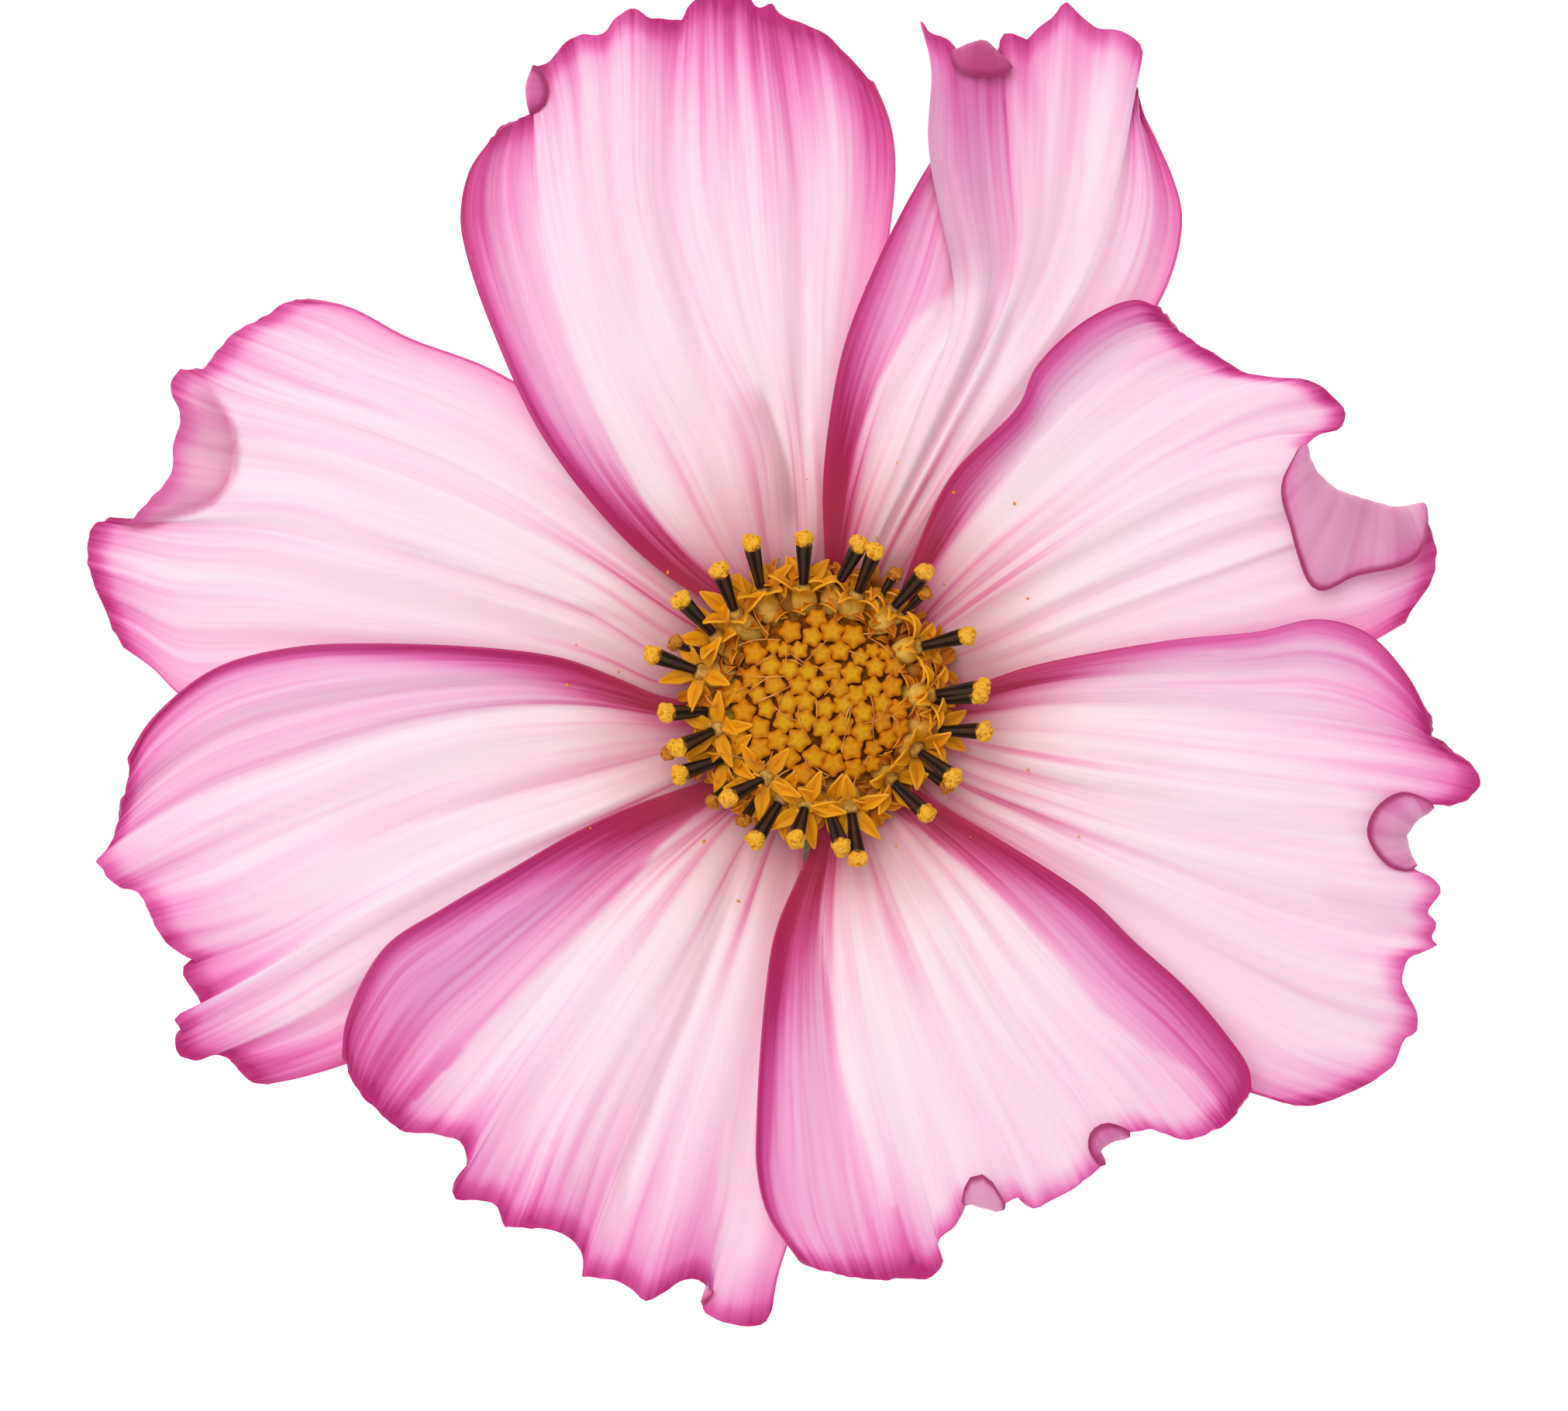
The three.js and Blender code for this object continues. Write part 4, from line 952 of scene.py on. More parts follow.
def petal_plan(petal, u, seed):
    """A petal seen from above, row by row from its foot, with its places across and its lift."""
    turn = math.radians(petal["foot"])
    ribs = []
    for at, _, line in petal["ribs"]:
        side = CLAW_HALF_WIDTH * (1 - 2 * at)
        foot = (
            CLAW_RADIUS * math.cos(turn) - side * math.sin(turn),
            CLAW_RADIUS * math.sin(turn) + side * math.cos(turn),
        )
        ribs.append(curve_points([foot] + line, u))
    plan, across, lift = [], [], []
    for k, end in enumerate(petal["ends"]):
        (at0, lift0, line0), (at1, lift1, line1) = petal["ribs"][k : k + 2]
        steps = max(6, round(PETAL_COLUMNS * (at1 - at0)))
        s = np.linspace(0, 1, steps + 1)
        edge = curve_points([line0[-1]] + end + [line1[-1]], s)
        bulge = edge - ribs[k][-1] * (1 - s[:, None]) - ribs[k + 1][-1] * s[:, None]
        broad = broad_run(bulge, max(min(4, steps // 3), steps // 6))
        first = 1 if k else 0
        s, bulge, broad = s[first:], bulge[first:], broad[first:]
        sheet = ribs[k][:, None] * (1 - s[:, None]) + ribs[k + 1][:, None] * s[:, None]
        notches = (bulge - broad)[None] * (u**7)[:, None, None]
        plan.append(sheet + broad[None] * (u**1.5)[:, None, None] + notches)
        across.append(at0 + (at1 - at0) * s)
        soft = s + 0.6 * (smooth(s) - s)
        lift.append(lift0 + (lift1 - lift0) * soft)
    plan = np.concatenate(plan, axis=1)
    across, lift = np.concatenate(across), np.concatenate(lift)

    outward = plan[-1] / np.linalg.norm(plan[-1], axis=1)[:, None]
    teeth = TOOTH_DEPTH * waves(across, seed, 9, 38, 6) * np.clip(np.minimum(across, 1 - across) * 12, 0, 1)
    teeth *= np.clip(np.linalg.norm(np.gradient(plan[-1], axis=0), axis=1) / 0.2, 0, 1)
    plan += (outward * teeth[:, None])[None] * (u**14)[:, None, None]
    return plan, across, lift


def petal_sheet(petal, seed):
    """The points of a petal's upper face, row by row from its foot, with their places across the
    petal and along it."""
    u = np.linspace(0, 1, PETAL_ROWS + 1)
    plan, across, lift = petal_plan(petal, u, seed)
    radius = np.hypot(plan[..., 0], plan[..., 1])
    spread = radius - CLAW_RADIUS
    opened = 0.65 * smooth(np.clip(spread / LIFT_START, 0, 1))
    opened += 0.35 * smooth(np.clip(spread / LIFT_REACH, 0, 1))
    rise = smooth(np.clip(3 * u, 0, 1))[:, None]
    widening = np.clip(0.3 + u, 0.3, 1)[:, None]
    pleats = PLEAT_DEPTH * np.sin(2 * np.pi * PLEATS * across) * widening
    fine = FINE_PLEAT_DEPTH * waves(across, seed + 50, 9, 30, 7) * widening**2
    ruffle = RUFFLE_DEPTH * np.sin(2 * np.pi * RUFFLES * across + petal["foot"]) * np.sin(np.pi * across)
    height = dome_height(radius) + opened * lift + (pleats + fine) * rise + ruffle * (u**5)[:, None]
    for line, width, depth, *_ in petal["folds"]:
        distance, share = beside(plan[..., 0], plan[..., 1], line)
        ends = np.clip(4 * np.minimum(share, 1 - share) + 0.15, 0, 1)
        height -= depth * np.exp(-((distance / width) ** 2)) * ends

    points = np.dstack([plan, height])
    past_left = 2 * points[:, :1] - points[:, 3:0:-1]
    past_right = 2 * points[:, -1:] - points[:, -2:-5:-1]
    padded = np.concatenate([past_left, points, past_right], axis=1)
    kernel = np.exp(-(np.arange(-3, 4) ** 2) / 4.0)
    kernel /= kernel.sum()
    rounded = sum(weight * padded[:, i : i + points.shape[1]] for i, weight in enumerate(kernel))
    keep = (u**8)[:, None, None]
    return rounded * (1 - keep) + points * keep, across, u


def flap_sheet(points, across, flap):
    """A rolled-over stretch, row by row from the petal's end to its own free margin, and the
    petal's first and last column that it spans."""
    start, end, margin, _ = flap
    first, last = (int(np.abs(across - place).argmin()) for place in (start, end))
    crease = points[-1, first : last + 1]
    line = [tuple(crease[0, :2])] + margin + [tuple(crease[-1, :2])]
    free = curve_points(line, 0.02 + 0.96 * np.linspace(0, 1, len(crease)))
    rows = [crease]
    reach = np.linalg.norm(free - crease[:, :2], axis=1)
    rise = np.minimum(FLAP_RISE, reach / 2) * 0.93
    inward = (free - crease[:, :2]) / np.maximum(reach, 1e-6)[:, None]
    for t in np.linspace(0, 1, FLAP_ROWS + 1)[1:]:
        roll = min(t / 0.4, 1) * math.pi
        out = 0.35 * rise * math.sin(roll)
        back = np.clip((t - 0.2) / 0.8, 0, 1) * reach
        plan = crease[:, :2] + inward * (back - out)[:, None]
        up = crease[:, 2] + rise * (1 - math.cos(roll)) / 2 - 0.25 * max(t - 0.5, 0) * rise
        rows.append(np.column_stack([plan, up]))
    return np.array(rows), first, last


def grid_piece(name, sheet, values):
    """A grid with one point for each of the sheet's, laid where the sheet runs."""
    rows, count = sheet.shape[:2]
    bpy.ops.mesh.primitive_grid_add(x_subdivisions=count - 1, y_subdivisions=rows - 1, size=1)
    piece = bpy.context.object
    piece.name = name
    flat = read_points(piece)
    column = np.rint((flat[:, 0] + 0.5) * (count - 1)).astype(int)
    row = np.rint((flat[:, 1] + 0.5) * (rows - 1)).astype(int)
    write_points(piece, (sheet[row, column] + (*AXIS, 0)) * MM)
    for key, value in values.items():
        keep_value(piece, key, np.broadcast_to(value, (rows, count))[row, column])
    return piece


def petal_values(petal, points, across, u, seed):
    """What the petal's colour follows: places across and along it, distances from its edges in
    millimetres, and how dark its bands and folds are."""
    x, y = points[..., 0], points[..., 1]
    from_left = run_length(points, 1)
    from_right = from_left[:, -1:] - from_left
    from_foot = run_length(points, 0)
    tip = from_foot[-1:] - from_foot
    band = np.zeros(x.shape)
    crimson = np.zeros(x.shape)
    # Each band gives a mauve band, partly pigment and partly painted shade of its raised margin, and the
    # crimson pigment right at that margin.
    for side, dark, border, *widest in petal["bands"]:
        margin = from_left if side == 0 else from_right
        distance, share = beside(x, y, border)
        inside = distance if side == 0 else -distance
        depth = np.where(inside > 0, margin / np.maximum(margin + inside, 1e-6), 1.2)
        strength = dark * np.interp(share, [0, 0.2, 0.5, 1], [1, 0.8, 0.6, 0.46])
        reached = np.abs(across - side) < (widest[0] if widest else BAND_REACH)
        mask = np.clip((1.03 - depth) / 0.12, 0, 1) * reached[None, :]
        band = np.maximum(band, mask * np.minimum(strength, 1) * (1 - 0.45 * np.clip(depth, 0, 1)))
        width = np.interp(from_foot, [0, 6, 14, 24, 40], [2.6, 1.9, 1.1, 0.6, 0.5])
        top = min(dark + 0.25, 1)
        strength = np.interp(from_foot, [0, 4, 12, 14, 26, 40], [1, 1, top, top, 0.75 * top, 0.6 * top])
        crimson = np.maximum(crimson, np.exp(-((margin / width) ** 2)) * strength)
    rim = np.zeros(x.shape)
    for margin, profile in zip((from_left, from_right), petal["sides"]):
        place, width, strength = np.array(profile).T
        depth = margin / np.interp(u, place, width)[:, None]
        rim = np.maximum(rim, np.interp(u, place, strength)[:, None] * np.exp(-1.5 * depth))
    place, reach, strength = np.array(petal["tips"]).T
    # Painted shade beside each crease: broad on its left side and a thin line of it along the crease itself.
    fold = np.zeros(x.shape)
    for line, width, _, dark, *spread in petal["folds"]:
        distance, share = beside(x, y, line)
        ends = np.clip(5 * np.minimum(share, 1 - share) + 0.1, 0, 1)
        fall = spread[0] if spread else SHADOW_REACH
        side = np.where(distance > 0, np.exp(-distance / fall), np.exp(-((distance / 0.25) ** 2)))
        fold = np.maximum(fold, dark * side * ends)
    values = {
        "across": across[None, :], "along": u[:, None], "edge": np.minimum(from_left, from_right),
        "tip": tip, "foot": from_foot, "band": band, "crimson": crimson, "fold": fold, "rim": rim,
        "reach": np.interp(across, place, reach)[None, :],
        "stain": np.interp(across, place, strength)[None, :],
        "seed": seed * 1.7, "under": 0.0,
    }
    return {name: np.broadcast_to(value, x.shape).copy() for name, value in values.items()}


def petal_skin_material():
    skin, shade = new_material("petal_skin")
    across, along, edge = shade.kept("across"), shade.kept("along"), shade.kept("edge")
    tip, foot, band = shade.kept("tip"), shade.kept("foot"), shade.kept("band")
    crimson, fold, under = shade.kept("crimson"), shade.kept("fold"), shade.kept("under")
    rim, reach, stain = shade.kept("rim"), shade.kept("reach"), shade.kept("stain")
    seed = shade.kept("seed")

    broad = shade.noise(shade.point(across * 13, along * 1.3, seed), 1, 2)
    veins = shade.noise(shade.point(across * 34, along * 1.6, seed + 3), 1, 2, 0.5)
    nerves = shade.noise(shade.point(across * 90, along * 3, seed + 7), 1, 2)
    ridges = shade.noise(shade.point(across * 17, along * 0.8, seed + 11), 1, 2, 0.4)
    cloud = shade.noise(shade.place(), 170, 2)
    streak = (broad * 0.45 + veins * 0.42 + nerves * 0.13).fade(0.3, 0.7)

    deep = stain * 0.2 ** (tip / (reach * (0.5 + streak * 0.9)))
    near = stain * (0.6 + streak * 0.4) * tip.fade(0.0, 1.7, 0.95, 0)
    wash = 1 - (1 - deep * 0.9) * (1 - near)
    end_line = tip.fade(0.04, 0.42, 1, 0) * (stain * 0.5 + 0.45)
    line = end_line.most(edge.fade(0.02, 0.4, 0.8, 0) * along.fade(0.05, 0.4, 0.2, 1))
    blush = along.fade(0.3, 1.0) * streak * 0.13
    grooves = ridges.fade(0.38, 0.7, 0, 0.44) * veins.fade(0.3, 0.7, 0.5, 1.2)
    throat = foot.fade(4, 18, 1, 0) * (grooves + 0.05)
    lines = veins.fade(0.5, 0.75, 0, 0.045) + nerves.fade(0.45, 0.8, 0, 0.045)
    lines += ridges.fade(0.45, 0.72, 0, 0.05)
    # The mauve bands: partly pigment, partly painted shade of the raised margins.
    inner = band * (0.66 + streak * 0.2)
    pigment = 1 - (1 - wash) * (1 - rim * 0.85) * (1 - inner) * (1 - (crimson * 0.95).least(1))
    pigment = pigment.most(line) + blush + throat + lines
    pigment = (pigment * nerves.fade(0.25, 0.8, 0.94, 1.06)).least(1)

    tip_ramp = [
        (0.0, srgb(254, 231, 240)), (0.2, srgb(250, 204, 227)), (0.45, srgb(242, 158, 207)),
        (0.7, srgb(222, 98, 172)), (1.0, srgb(184, 36, 118)),
    ]
    foot_ramp = [
        (0.0, srgb(254, 235, 235)), (0.2, srgb(249, 204, 217)), (0.45, srgb(232, 136, 176)),
        (0.7, srgb(206, 66, 124)), (1.0, srgb(172, 8, 66)),
    ]
    at_tip = shade.node("ShaderNodeValToRGB", {"stops": tip_ramp}, {0: pigment})
    at_foot = shade.node("ShaderNodeValToRGB", {"stops": foot_ramp}, {0: pigment})
    colour = (foot.fade(4, 20) * (1 - rim * 0.2)).tint(at_foot, at_tip)
    # Painted shade of the disc and its florets on the petals' feet, weaker where the petal is deeply
    # pigmented.
    colour = (foot.fade(2.5, 11, 0.72, 0) * (1 - pigment * 0.8)).tint(colour, srgb(194, 122, 132))
    shadow = foot.fade(7, 17).tint(srgb(162, 112, 120), srgb(200, 112, 158))
    colour = (fold * streak.fade(0, 1, 0.85, 1.1)).least(1).tint(colour, shadow)
    dusky = (veins * 0.5 + cloud * 0.5).fade(0.3, 0.7).tint(srgb(226, 150, 188), srgb(190, 92, 140))
    colour = (under * 0.8 * (1 - wash * 0.6) * (1 - rim * 0.9) * (1 - line)).tint(colour, dusky)
    colour = (under * tip.fade(0.12, 0.55, 0.95, 0)).tint(colour, srgb(160, 44, 98))

    relief = shade.bump(veins * 0.7 + nerves * 0.3, 0.25, 0.00012)
    finish_surface(
        skin, colour, nerves.fade(0.2, 0.8, 0.46, 0.62), relief,
        Specular_IOR_Level=0.3, Sheen_Weight=0.06, Sheen_Roughness=0.5,
        Subsurface_Weight=0.3, Subsurface_Radius=(1.0, 0.35, 0.45), Subsurface_Scale=0.0007,
    )
    return skin


def joined(pieces, name):
    """The pieces made one, in the first one's object."""
    only(pieces[0])
    for piece in pieces:
        piece.select_set(True)
    bpy.ops.object.join()
    pieces[0].name = name
    return pieces[0]


def weld(piece, within):
    """Merges the points that lie on each other."""
    only(piece)
    bpy.ops.object.mode_set(mode="EDIT")
    bpy.ops.mesh.select_all(action="SELECT")
    bpy.ops.mesh.remove_doubles(threshold=within)
    bpy.ops.object.mode_set(mode="OBJECT")


petal_skin = petal_skin_material()
petal_tops = []
for number, (name, petal) in enumerate(PETALS.items()):
    sheet, across, u = petal_sheet(petal, number)
    values = petal_values(petal, sheet, across, u, number)
    petal_tops.append(sheet.reshape(-1, 3))
    flaps = []
    for flap in petal["flaps"]:
        roll, first, last = flap_sheet(sheet, across, flap)
        to_margin = run_length(roll, 0)[-1:] - run_length(roll, 0)
        column = slice(first, last + 1)
        values["tip"][:, column] += to_margin[0]
        of_flap = {key: value[-1:, column] for key, value in values.items()}
        of_flap["tip"] = to_margin
        of_flap["rim"] = np.maximum(of_flap["rim"], flap[3])
        of_flap["edge"] = of_flap["edge"] + 2
        flaps.append(grid_piece(name + "_flap", roll, of_flap))
    blade = grid_piece(name + "_blade", sheet, values)
    if flaps:
        weld(joined([blade] + flaps, blade.name), 0.0002 * MM)
    upper = len(blade.data.vertices)
    thicken(blade, PETAL_THICKNESS * MM)
    under = np.zeros(len(blade.data.vertices))
    under[upper:] = 1
    keep_value(blade, "under", under)
    smooth_shaded(blade, 60)
    blade.data.materials.append(petal_skin)
    settle(blade, "petal", name)

# ---- Disc and closed buds ----
# The rounded head that carries all the disc florets, golden brown between them. Sixty-two closed
# buds stand on it, each a firm golden five-pointed pillow, darker orange at its rim and with
# painted shade down its sides.

DISC_RADIUS = 4.75
DISC_FOOT_RADIUS = 4.3
DISC_FOOT_Z = 10.7
DISC_TOP_Z = 12.6
DISC_DOME = 0.9
BUD_POINT = 0.71
BUD_NOTCH = 0.5
BUD_MIDDLE = 0.58
BUD_SPACING = 0.945
BUD_SIZES = (0.79, 1.17)
BUD_RINGS = [
    (0.7, -0.45), (0.86, 0.0), (0.98, 0.22), (1.0, 0.36), (0.965, 0.46), (0.84, 0.54), (0.6, 0.6),
    (0.3, 0.64), (0.06, 0.65),
]
BUD_SPOTS = [
    (-0.15, 4.3), (-1.6, 3.6), (-0.4, 3.35), (0.7, 3.6), (1.87, 3.33), (-2.55, 2.8), (-1.95, 2.6),
    (-1.1, 2.55), (0.17, 2.33), (1.13, 2.5), (2.27, 2.15), (3.0, 2.55), (3.7, 2.4), (-3.58, 2.33),
    (-2.73, 1.65), (-1.65, 1.48), (-0.63, 1.37), (0.65, 1.45), (1.8, 1.25), (3.15, 1.6), (4.15, 1.6),
    (-3.73, 1.06), (-2.5, 0.57), (-1.14, 0.57), (-0.06, 0.57), (1.1, 0.45), (2.95, 0.5), (4.03, 0.55),
    (-4.63, 0.2), (-3.4, 0.05), (2.04, 0.1), (-1.77, -0.4), (-0.74, -0.3), (0.32, -0.65), (1.3, -0.5),
    (2.42, -0.9), (3.5, -0.4), (4.4, -0.75), (-4.18, -0.85), (-2.93, -0.73), (-0.8, -1.33), (-1.94, -1.42),
    (0.17, -1.7), (1.24, -1.62), (3.45, -1.4), (4.5, -1.75), (2.36, -1.95), (-4.55, -1.98), (-3.33, -1.8),
    (-1.14, -2.38), (-2.3, -2.44), (0.65, -2.61), (3.8, -2.35), (3.0, -2.9), (1.78, -2.9), (-3.3, -2.9),
    (-1.71, -3.35), (-0.26, -3.35), (0.76, -3.8), (1.95, -4.0), (-0.86, -4.31), (2.95, -3.75),
]


def disc_height(radius):
    return DISC_TOP_Z + DISC_DOME * (1 - (radius / DISC_RADIUS) ** 2)


def repeated(model, name, placements, seed):
    """Copies of a model, each with its own mesh laid in its place, joined into one piece."""
    chance = np.random.default_rng(seed)
    copies = []
    for matrix in placements:
        copy = model.copy()
        copy.data = model.data.copy()
        copy.data.transform(matrix)
        bpy.context.collection.objects.link(copy)
        keep_value(copy, "tone", np.full(len(copy.data.vertices), chance.random()))
        copies.append(copy)
    bpy.data.objects.remove(model)
    return joined(copies, name)


head_rings = [(DISC_FOOT_RADIUS, DISC_FOOT_Z), (4.5, 11.3), (4.7, 12.0)]
head_rings += [(r, disc_height(r)) for r in (4.72, 4.4, 3.9, 3.3, 2.7, 2.1, 1.5, 0.9, 0.4, 0.05)]
head = turned("disc_head", head_rings, 72, MM, centre)
face_out(head)
smooth_shaded(head, 60)
head_skin, shade = new_material("disc_ground")
grain = shade.noise(shade.place(), 2600, 4)
colour = grain.fade(0.3, 0.7).tint(srgb(104, 50, 3), srgb(156, 86, 10))
finish_surface(head_skin, colour, 0.8, shade.bump(grain, 0.6, 0.0001), Specular_IOR_Level=0.05)
head.data.materials.append(head_skin)
settle(head, "disc", "disc")

bud = turned("bud", BUD_RINGS, 30)
points = read_points(bud)
angle = np.arctan2(points[:, 1], points[:, 0])
reach = np.hypot(points[:, 0], points[:, 1])
tenth = math.pi / 5
from_tip = np.abs((angle / (2 * tenth) + 0.5) % 1 - 0.5) * 2
star = 1 - 2 * from_tip
across_side = BUD_NOTCH * np.sin(tenth * (1 - from_tip)) + BUD_POINT * np.sin(tenth * from_tip)
straight = BUD_POINT * BUD_NOTCH * math.sin(tenth) / across_side
outline = BUD_MIDDLE + (straight - BUD_MIDDLE) * np.clip(reach * 1.15, 0, 1)
points[:, :2] *= outline[:, None]
points[:, 2] += 0.09 * star * np.clip(reach, 0, 1) ** 2 * (1.3 - reach)
points[:, 2] -= 0.05 * np.exp(-((reach / 0.12) ** 2))
write_points(bud, points * MM)
keep_value(bud, "rim", np.clip(reach, 0, 1))
keep_value(bud, "depth", np.clip((0.5 - points[:, 2]) / 0.6, 0, 1))
keep_value(bud, "star", star)
face_out(bud)
chance = np.random.default_rng(11)
placements = []
lean = 0.85 * 2 * DISC_DOME / DISC_RADIUS**2
for x, y in BUD_SPOTS:
    nearest = min(math.hypot(x - a, y - b) for a, b in BUD_SPOTS if (a, b) != (x, y))
    up = Vector((x * lean, y * lean, 1)) + Vector(chance.normal(0, 0.05, 3))
    place = Vector((x + AXIS[0], y + AXIS[1], disc_height(math.hypot(x, y)))) * MM
    size = min(max(nearest / BUD_SPACING, BUD_SIZES[0]), BUD_SIZES[1])
    spin = Matrix.Rotation(chance.uniform(0, 6.28), 4, "Z")
    turn = up.to_track_quat("Z", "Y").to_matrix().to_4x4() @ spin
    placements.append(Matrix.Translation(place) @ turn @ Matrix.Scale(size, 4))
buds = repeated(bud, "disc_buds", placements, 12)
points = read_points(buds)
keep_value(buds, "away", np.hypot(points[:, 0] - centre[0], points[:, 1] - centre[1]))
smooth_shaded(buds, 60)
bud_skin, shade = new_material("bud_gold")
rim, depth, tone = shade.kept("rim"), shade.kept("depth"), shade.kept("tone")
star, away = shade.kept("star"), shade.kept("away")
grain = shade.noise(shade.place(), 3200, 3)
colour = rim.fade(0.1, 0.95).tint(srgb(214, 160, 18), srgb(200, 116, 4))
colour = (tone.fade(0.5, 1.0) * 0.35).tint(colour, srgb(208, 116, 4))
colour = (grain.fade(0.35, 0.75) * 0.35).tint(colour, srgb(238, 180, 24))
colour = (away.fade(0.003, 0.0046) * 0.4).tint(colour, srgb(214, 118, 6))
colour = (star.fade(0.2, -1.0) * rim.fade(0.45, 1.0) * 0.45).tint(colour, srgb(164, 96, 6))
colour = (rim.fade(0.2, 0.02) * 0.5).tint(colour, srgb(196, 112, 6))
# Painted shade down the buds' sides, deepest low down where they meet the disc between them.
colour = depth.fade(0.15, 0.72).tint(colour, srgb(118, 58, 4))
relief = shade.bump(grain, 0.5, 0.00008)
finish_surface(bud_skin, colour, grain.fade(0.2, 0.8, 0.55, 0.72), relief, Specular_IOR_Level=0.12)
buds.data.materials.append(bud_skin)
settle(buds, "disc", "disc")

# ---- Open disc florets ----
# A ring of small golden flowers round the buds. Each is a cream and brown goblet with five pointed
# lobes, out of which a dark brown ribbed tube of anthers grows, capped with crumbly pollen. Older
# ones between them have withered to curled lobes, or to a short column with a brown cap.

ROOT_RADIUS = 4.5
ROOT_Z = 11.1
FACE_Z = 12.5
FACE_STEP = 0.2
POLLEN_REACH = 3.3
POLLEN_RADIUS = 0.47
POLLEN_GRAINS = 420
MOST_LEAN = 0.92
SPENT_Z = 11.9
OLD_CAP_Z = 12.7
OLD_MOUTH_Z = 12.2
OLD_COLUMN_SIZE = 0.62
OLD_CAP_SIZE = 0.82
OLD_TONE = 2.0
WITHERED = 60
WITHERED_REACHES = (5.3, 6.8, 6.1)
TUBE_LENGTH = 1.6
MOUTH = 0.55
LOBE_LENGTH = 1.85
LOBE_THICKNESS = 0.12
TUBE_RINGS = [
    (0.36, -TUBE_LENGTH), (0.42, -1.35), (0.54, -1.05), (0.64, -0.75), (0.66, -0.45), (0.62, -0.2),
    (MOUTH, 0.0),
]
COLUMN_RINGS = [
    (0.28, -0.35), (0.5, -0.1), (0.46, 0.12), (0.34, 0.24), (0.26, 0.36), (0.28, 0.9), (0.34, 1.5),
    (0.4, 2.2), (0.44, 2.7), (0.42, 2.84), (0.2, 2.9),
]
# Where each open floret's mouth and its cap of pollen lie, seen from above.
OPEN_FLORETS = [
    ((-0.9, 6.1), (-0.85, 9.4)), ((-3.3, 5.9), (-3.95, 9)), ((-4.8, 4.7), (-5.75, 7.3)),
    ((-5.9, 3.4), (-8.2, 5.8)), ((-6.8, 1.4), (-9.9, 2.5)), ((-6.2, -0.9), (-8.85, -0.95)),
    ((-5.9, -1.9), (-8.2, -3)), ((-5.3, -3.5), (-8.1, -4.5)), ((-3.1, -4.7), (-5.3, -5.85)),
    ((-2.2, -5.9), (-3.7, -8.3)), ((-0.8, -6.3), (-1.4, -8.2)), ((0.5, -6.3), (1.3, -8.7)),
    ((1.8, -6.4), (2.2, -9.4)), ((4.1, -4.8), (6.2, -6.8)), ((5.6, -3.1), (7.7, -4.7)),
    ((6.6, -1.95), (9.55, -2)), ((6.4, 0.1), (9.4, 0.5)), ((6.3, -0.3), (9.2, 0.1)),
    ((5.6, 2.8), (8.6, 3.5)), ((4.1, 4.9), (6.1, 7.2)), ((2.1, 5.7), (3.25, 8.4)),
    ((0.9, 6.1), (2.5, 9.05)),
]
SPENT_FLORETS = [
    (-6.5, -3.5), (-4.3, -5.4), (3.1, -6.2), (6.7, -0.9), (6.7, 1.7), (3.3, 6.3), (-2.1, 6.6), (-6.8, 0.2),
]
OLD_CAPS = [
    (4.4, 7.1), (6.1, 6.0), (-8.35, 3.1), (-8.8, -3.3), (-6.2, -6.1), (-1.5, -8.3), (-4.4, -7.2), (7.4, -5.2),
]


def corolla_model(name, opening, curl, width):
    """A floret's goblet and five lobes round +Z, the throat at the origin, in millimetres. Its
    lobes lift by the angle of opening, curl down at their tips and are broad by their width."""
    tube = turned(name, TUBE_RINGS, 40, fill="NOTHING")
    points = read_points(tube)
    keep_value(tube, "out", np.clip((points[:, 2] + TUBE_LENGTH) / TUBE_LENGTH * 0.4, 0, 0.4))
    keep_value(tube, "middle", np.full(len(points), 0.5))
    lobes = []
    for i in range(5):
        bpy.ops.mesh.primitive_grid_add(x_subdivisions=8, y_subdivisions=9, size=2)
        lobe = bpy.context.object
        flat = read_points(lobe)
        h, v = flat[:, 0], (flat[:, 1] + 1) / 2
        arc = h * math.pi / 5
        free = np.clip(3 * v, 0, 1)
        half = width * (0.4 + 0.07 * np.sin(np.pi * np.clip(1.4 * v, 0, 1))) * (1 - v**2) ** 0.9 + 0.008
        lateral = MOUTH * np.sin(arc) * (1 - free) + half * h * free
        radial = MOUTH * np.cos(arc) * (1 - free) + MOUTH * free
        radial += math.cos(opening) * LOBE_LENGTH * v * (1 - 0.12 * curl * v)
        rise = math.sin(opening) * LOBE_LENGTH * v + 0.25 * np.sin(np.pi * 0.55 * v) - curl * v**2.2
        rise += free * 0.22 * np.abs(h) ** 1.5 * (1 - 0.6 * v)
        turn = 2 * math.pi * i / 5 + math.pi / 2
        points = np.column_stack([
            radial * math.cos(turn) + lateral * math.sin(turn),
            radial * math.sin(turn) - lateral * math.cos(turn),
            rise,
        ])
        write_points(lobe, points)
        keep_value(lobe, "out", 0.4 + 0.6 * v)
        keep_value(lobe, "middle", 1 - np.abs(h))
        lobes.append(lobe)
    joined([tube] + lobes, name)
    weld(tube, 0.002)
    face_out(tube)
    thicken(tube, LOBE_THICKNESS, 0)
    return tube


def root_under(x, y):
    """Where a floret that lies there seen from above grows from the side of the disc."""
    return Vector((x, y, 0)).normalized() * ROOT_RADIUS + Vector((0, 0, ROOT_Z))


def lean_of(face, tip):
    """The way an anther column points, from where its mouth and its cap lie seen from above."""
    reach = Vector((tip[0] - face[0], tip[1] - face[1]))
    sine = min(reach.length / POLLEN_REACH, MOST_LEAN)
    reach = reach.normalized() * sine
    return Vector((reach.x, reach.y, math.sqrt(1 - sine * sine)))


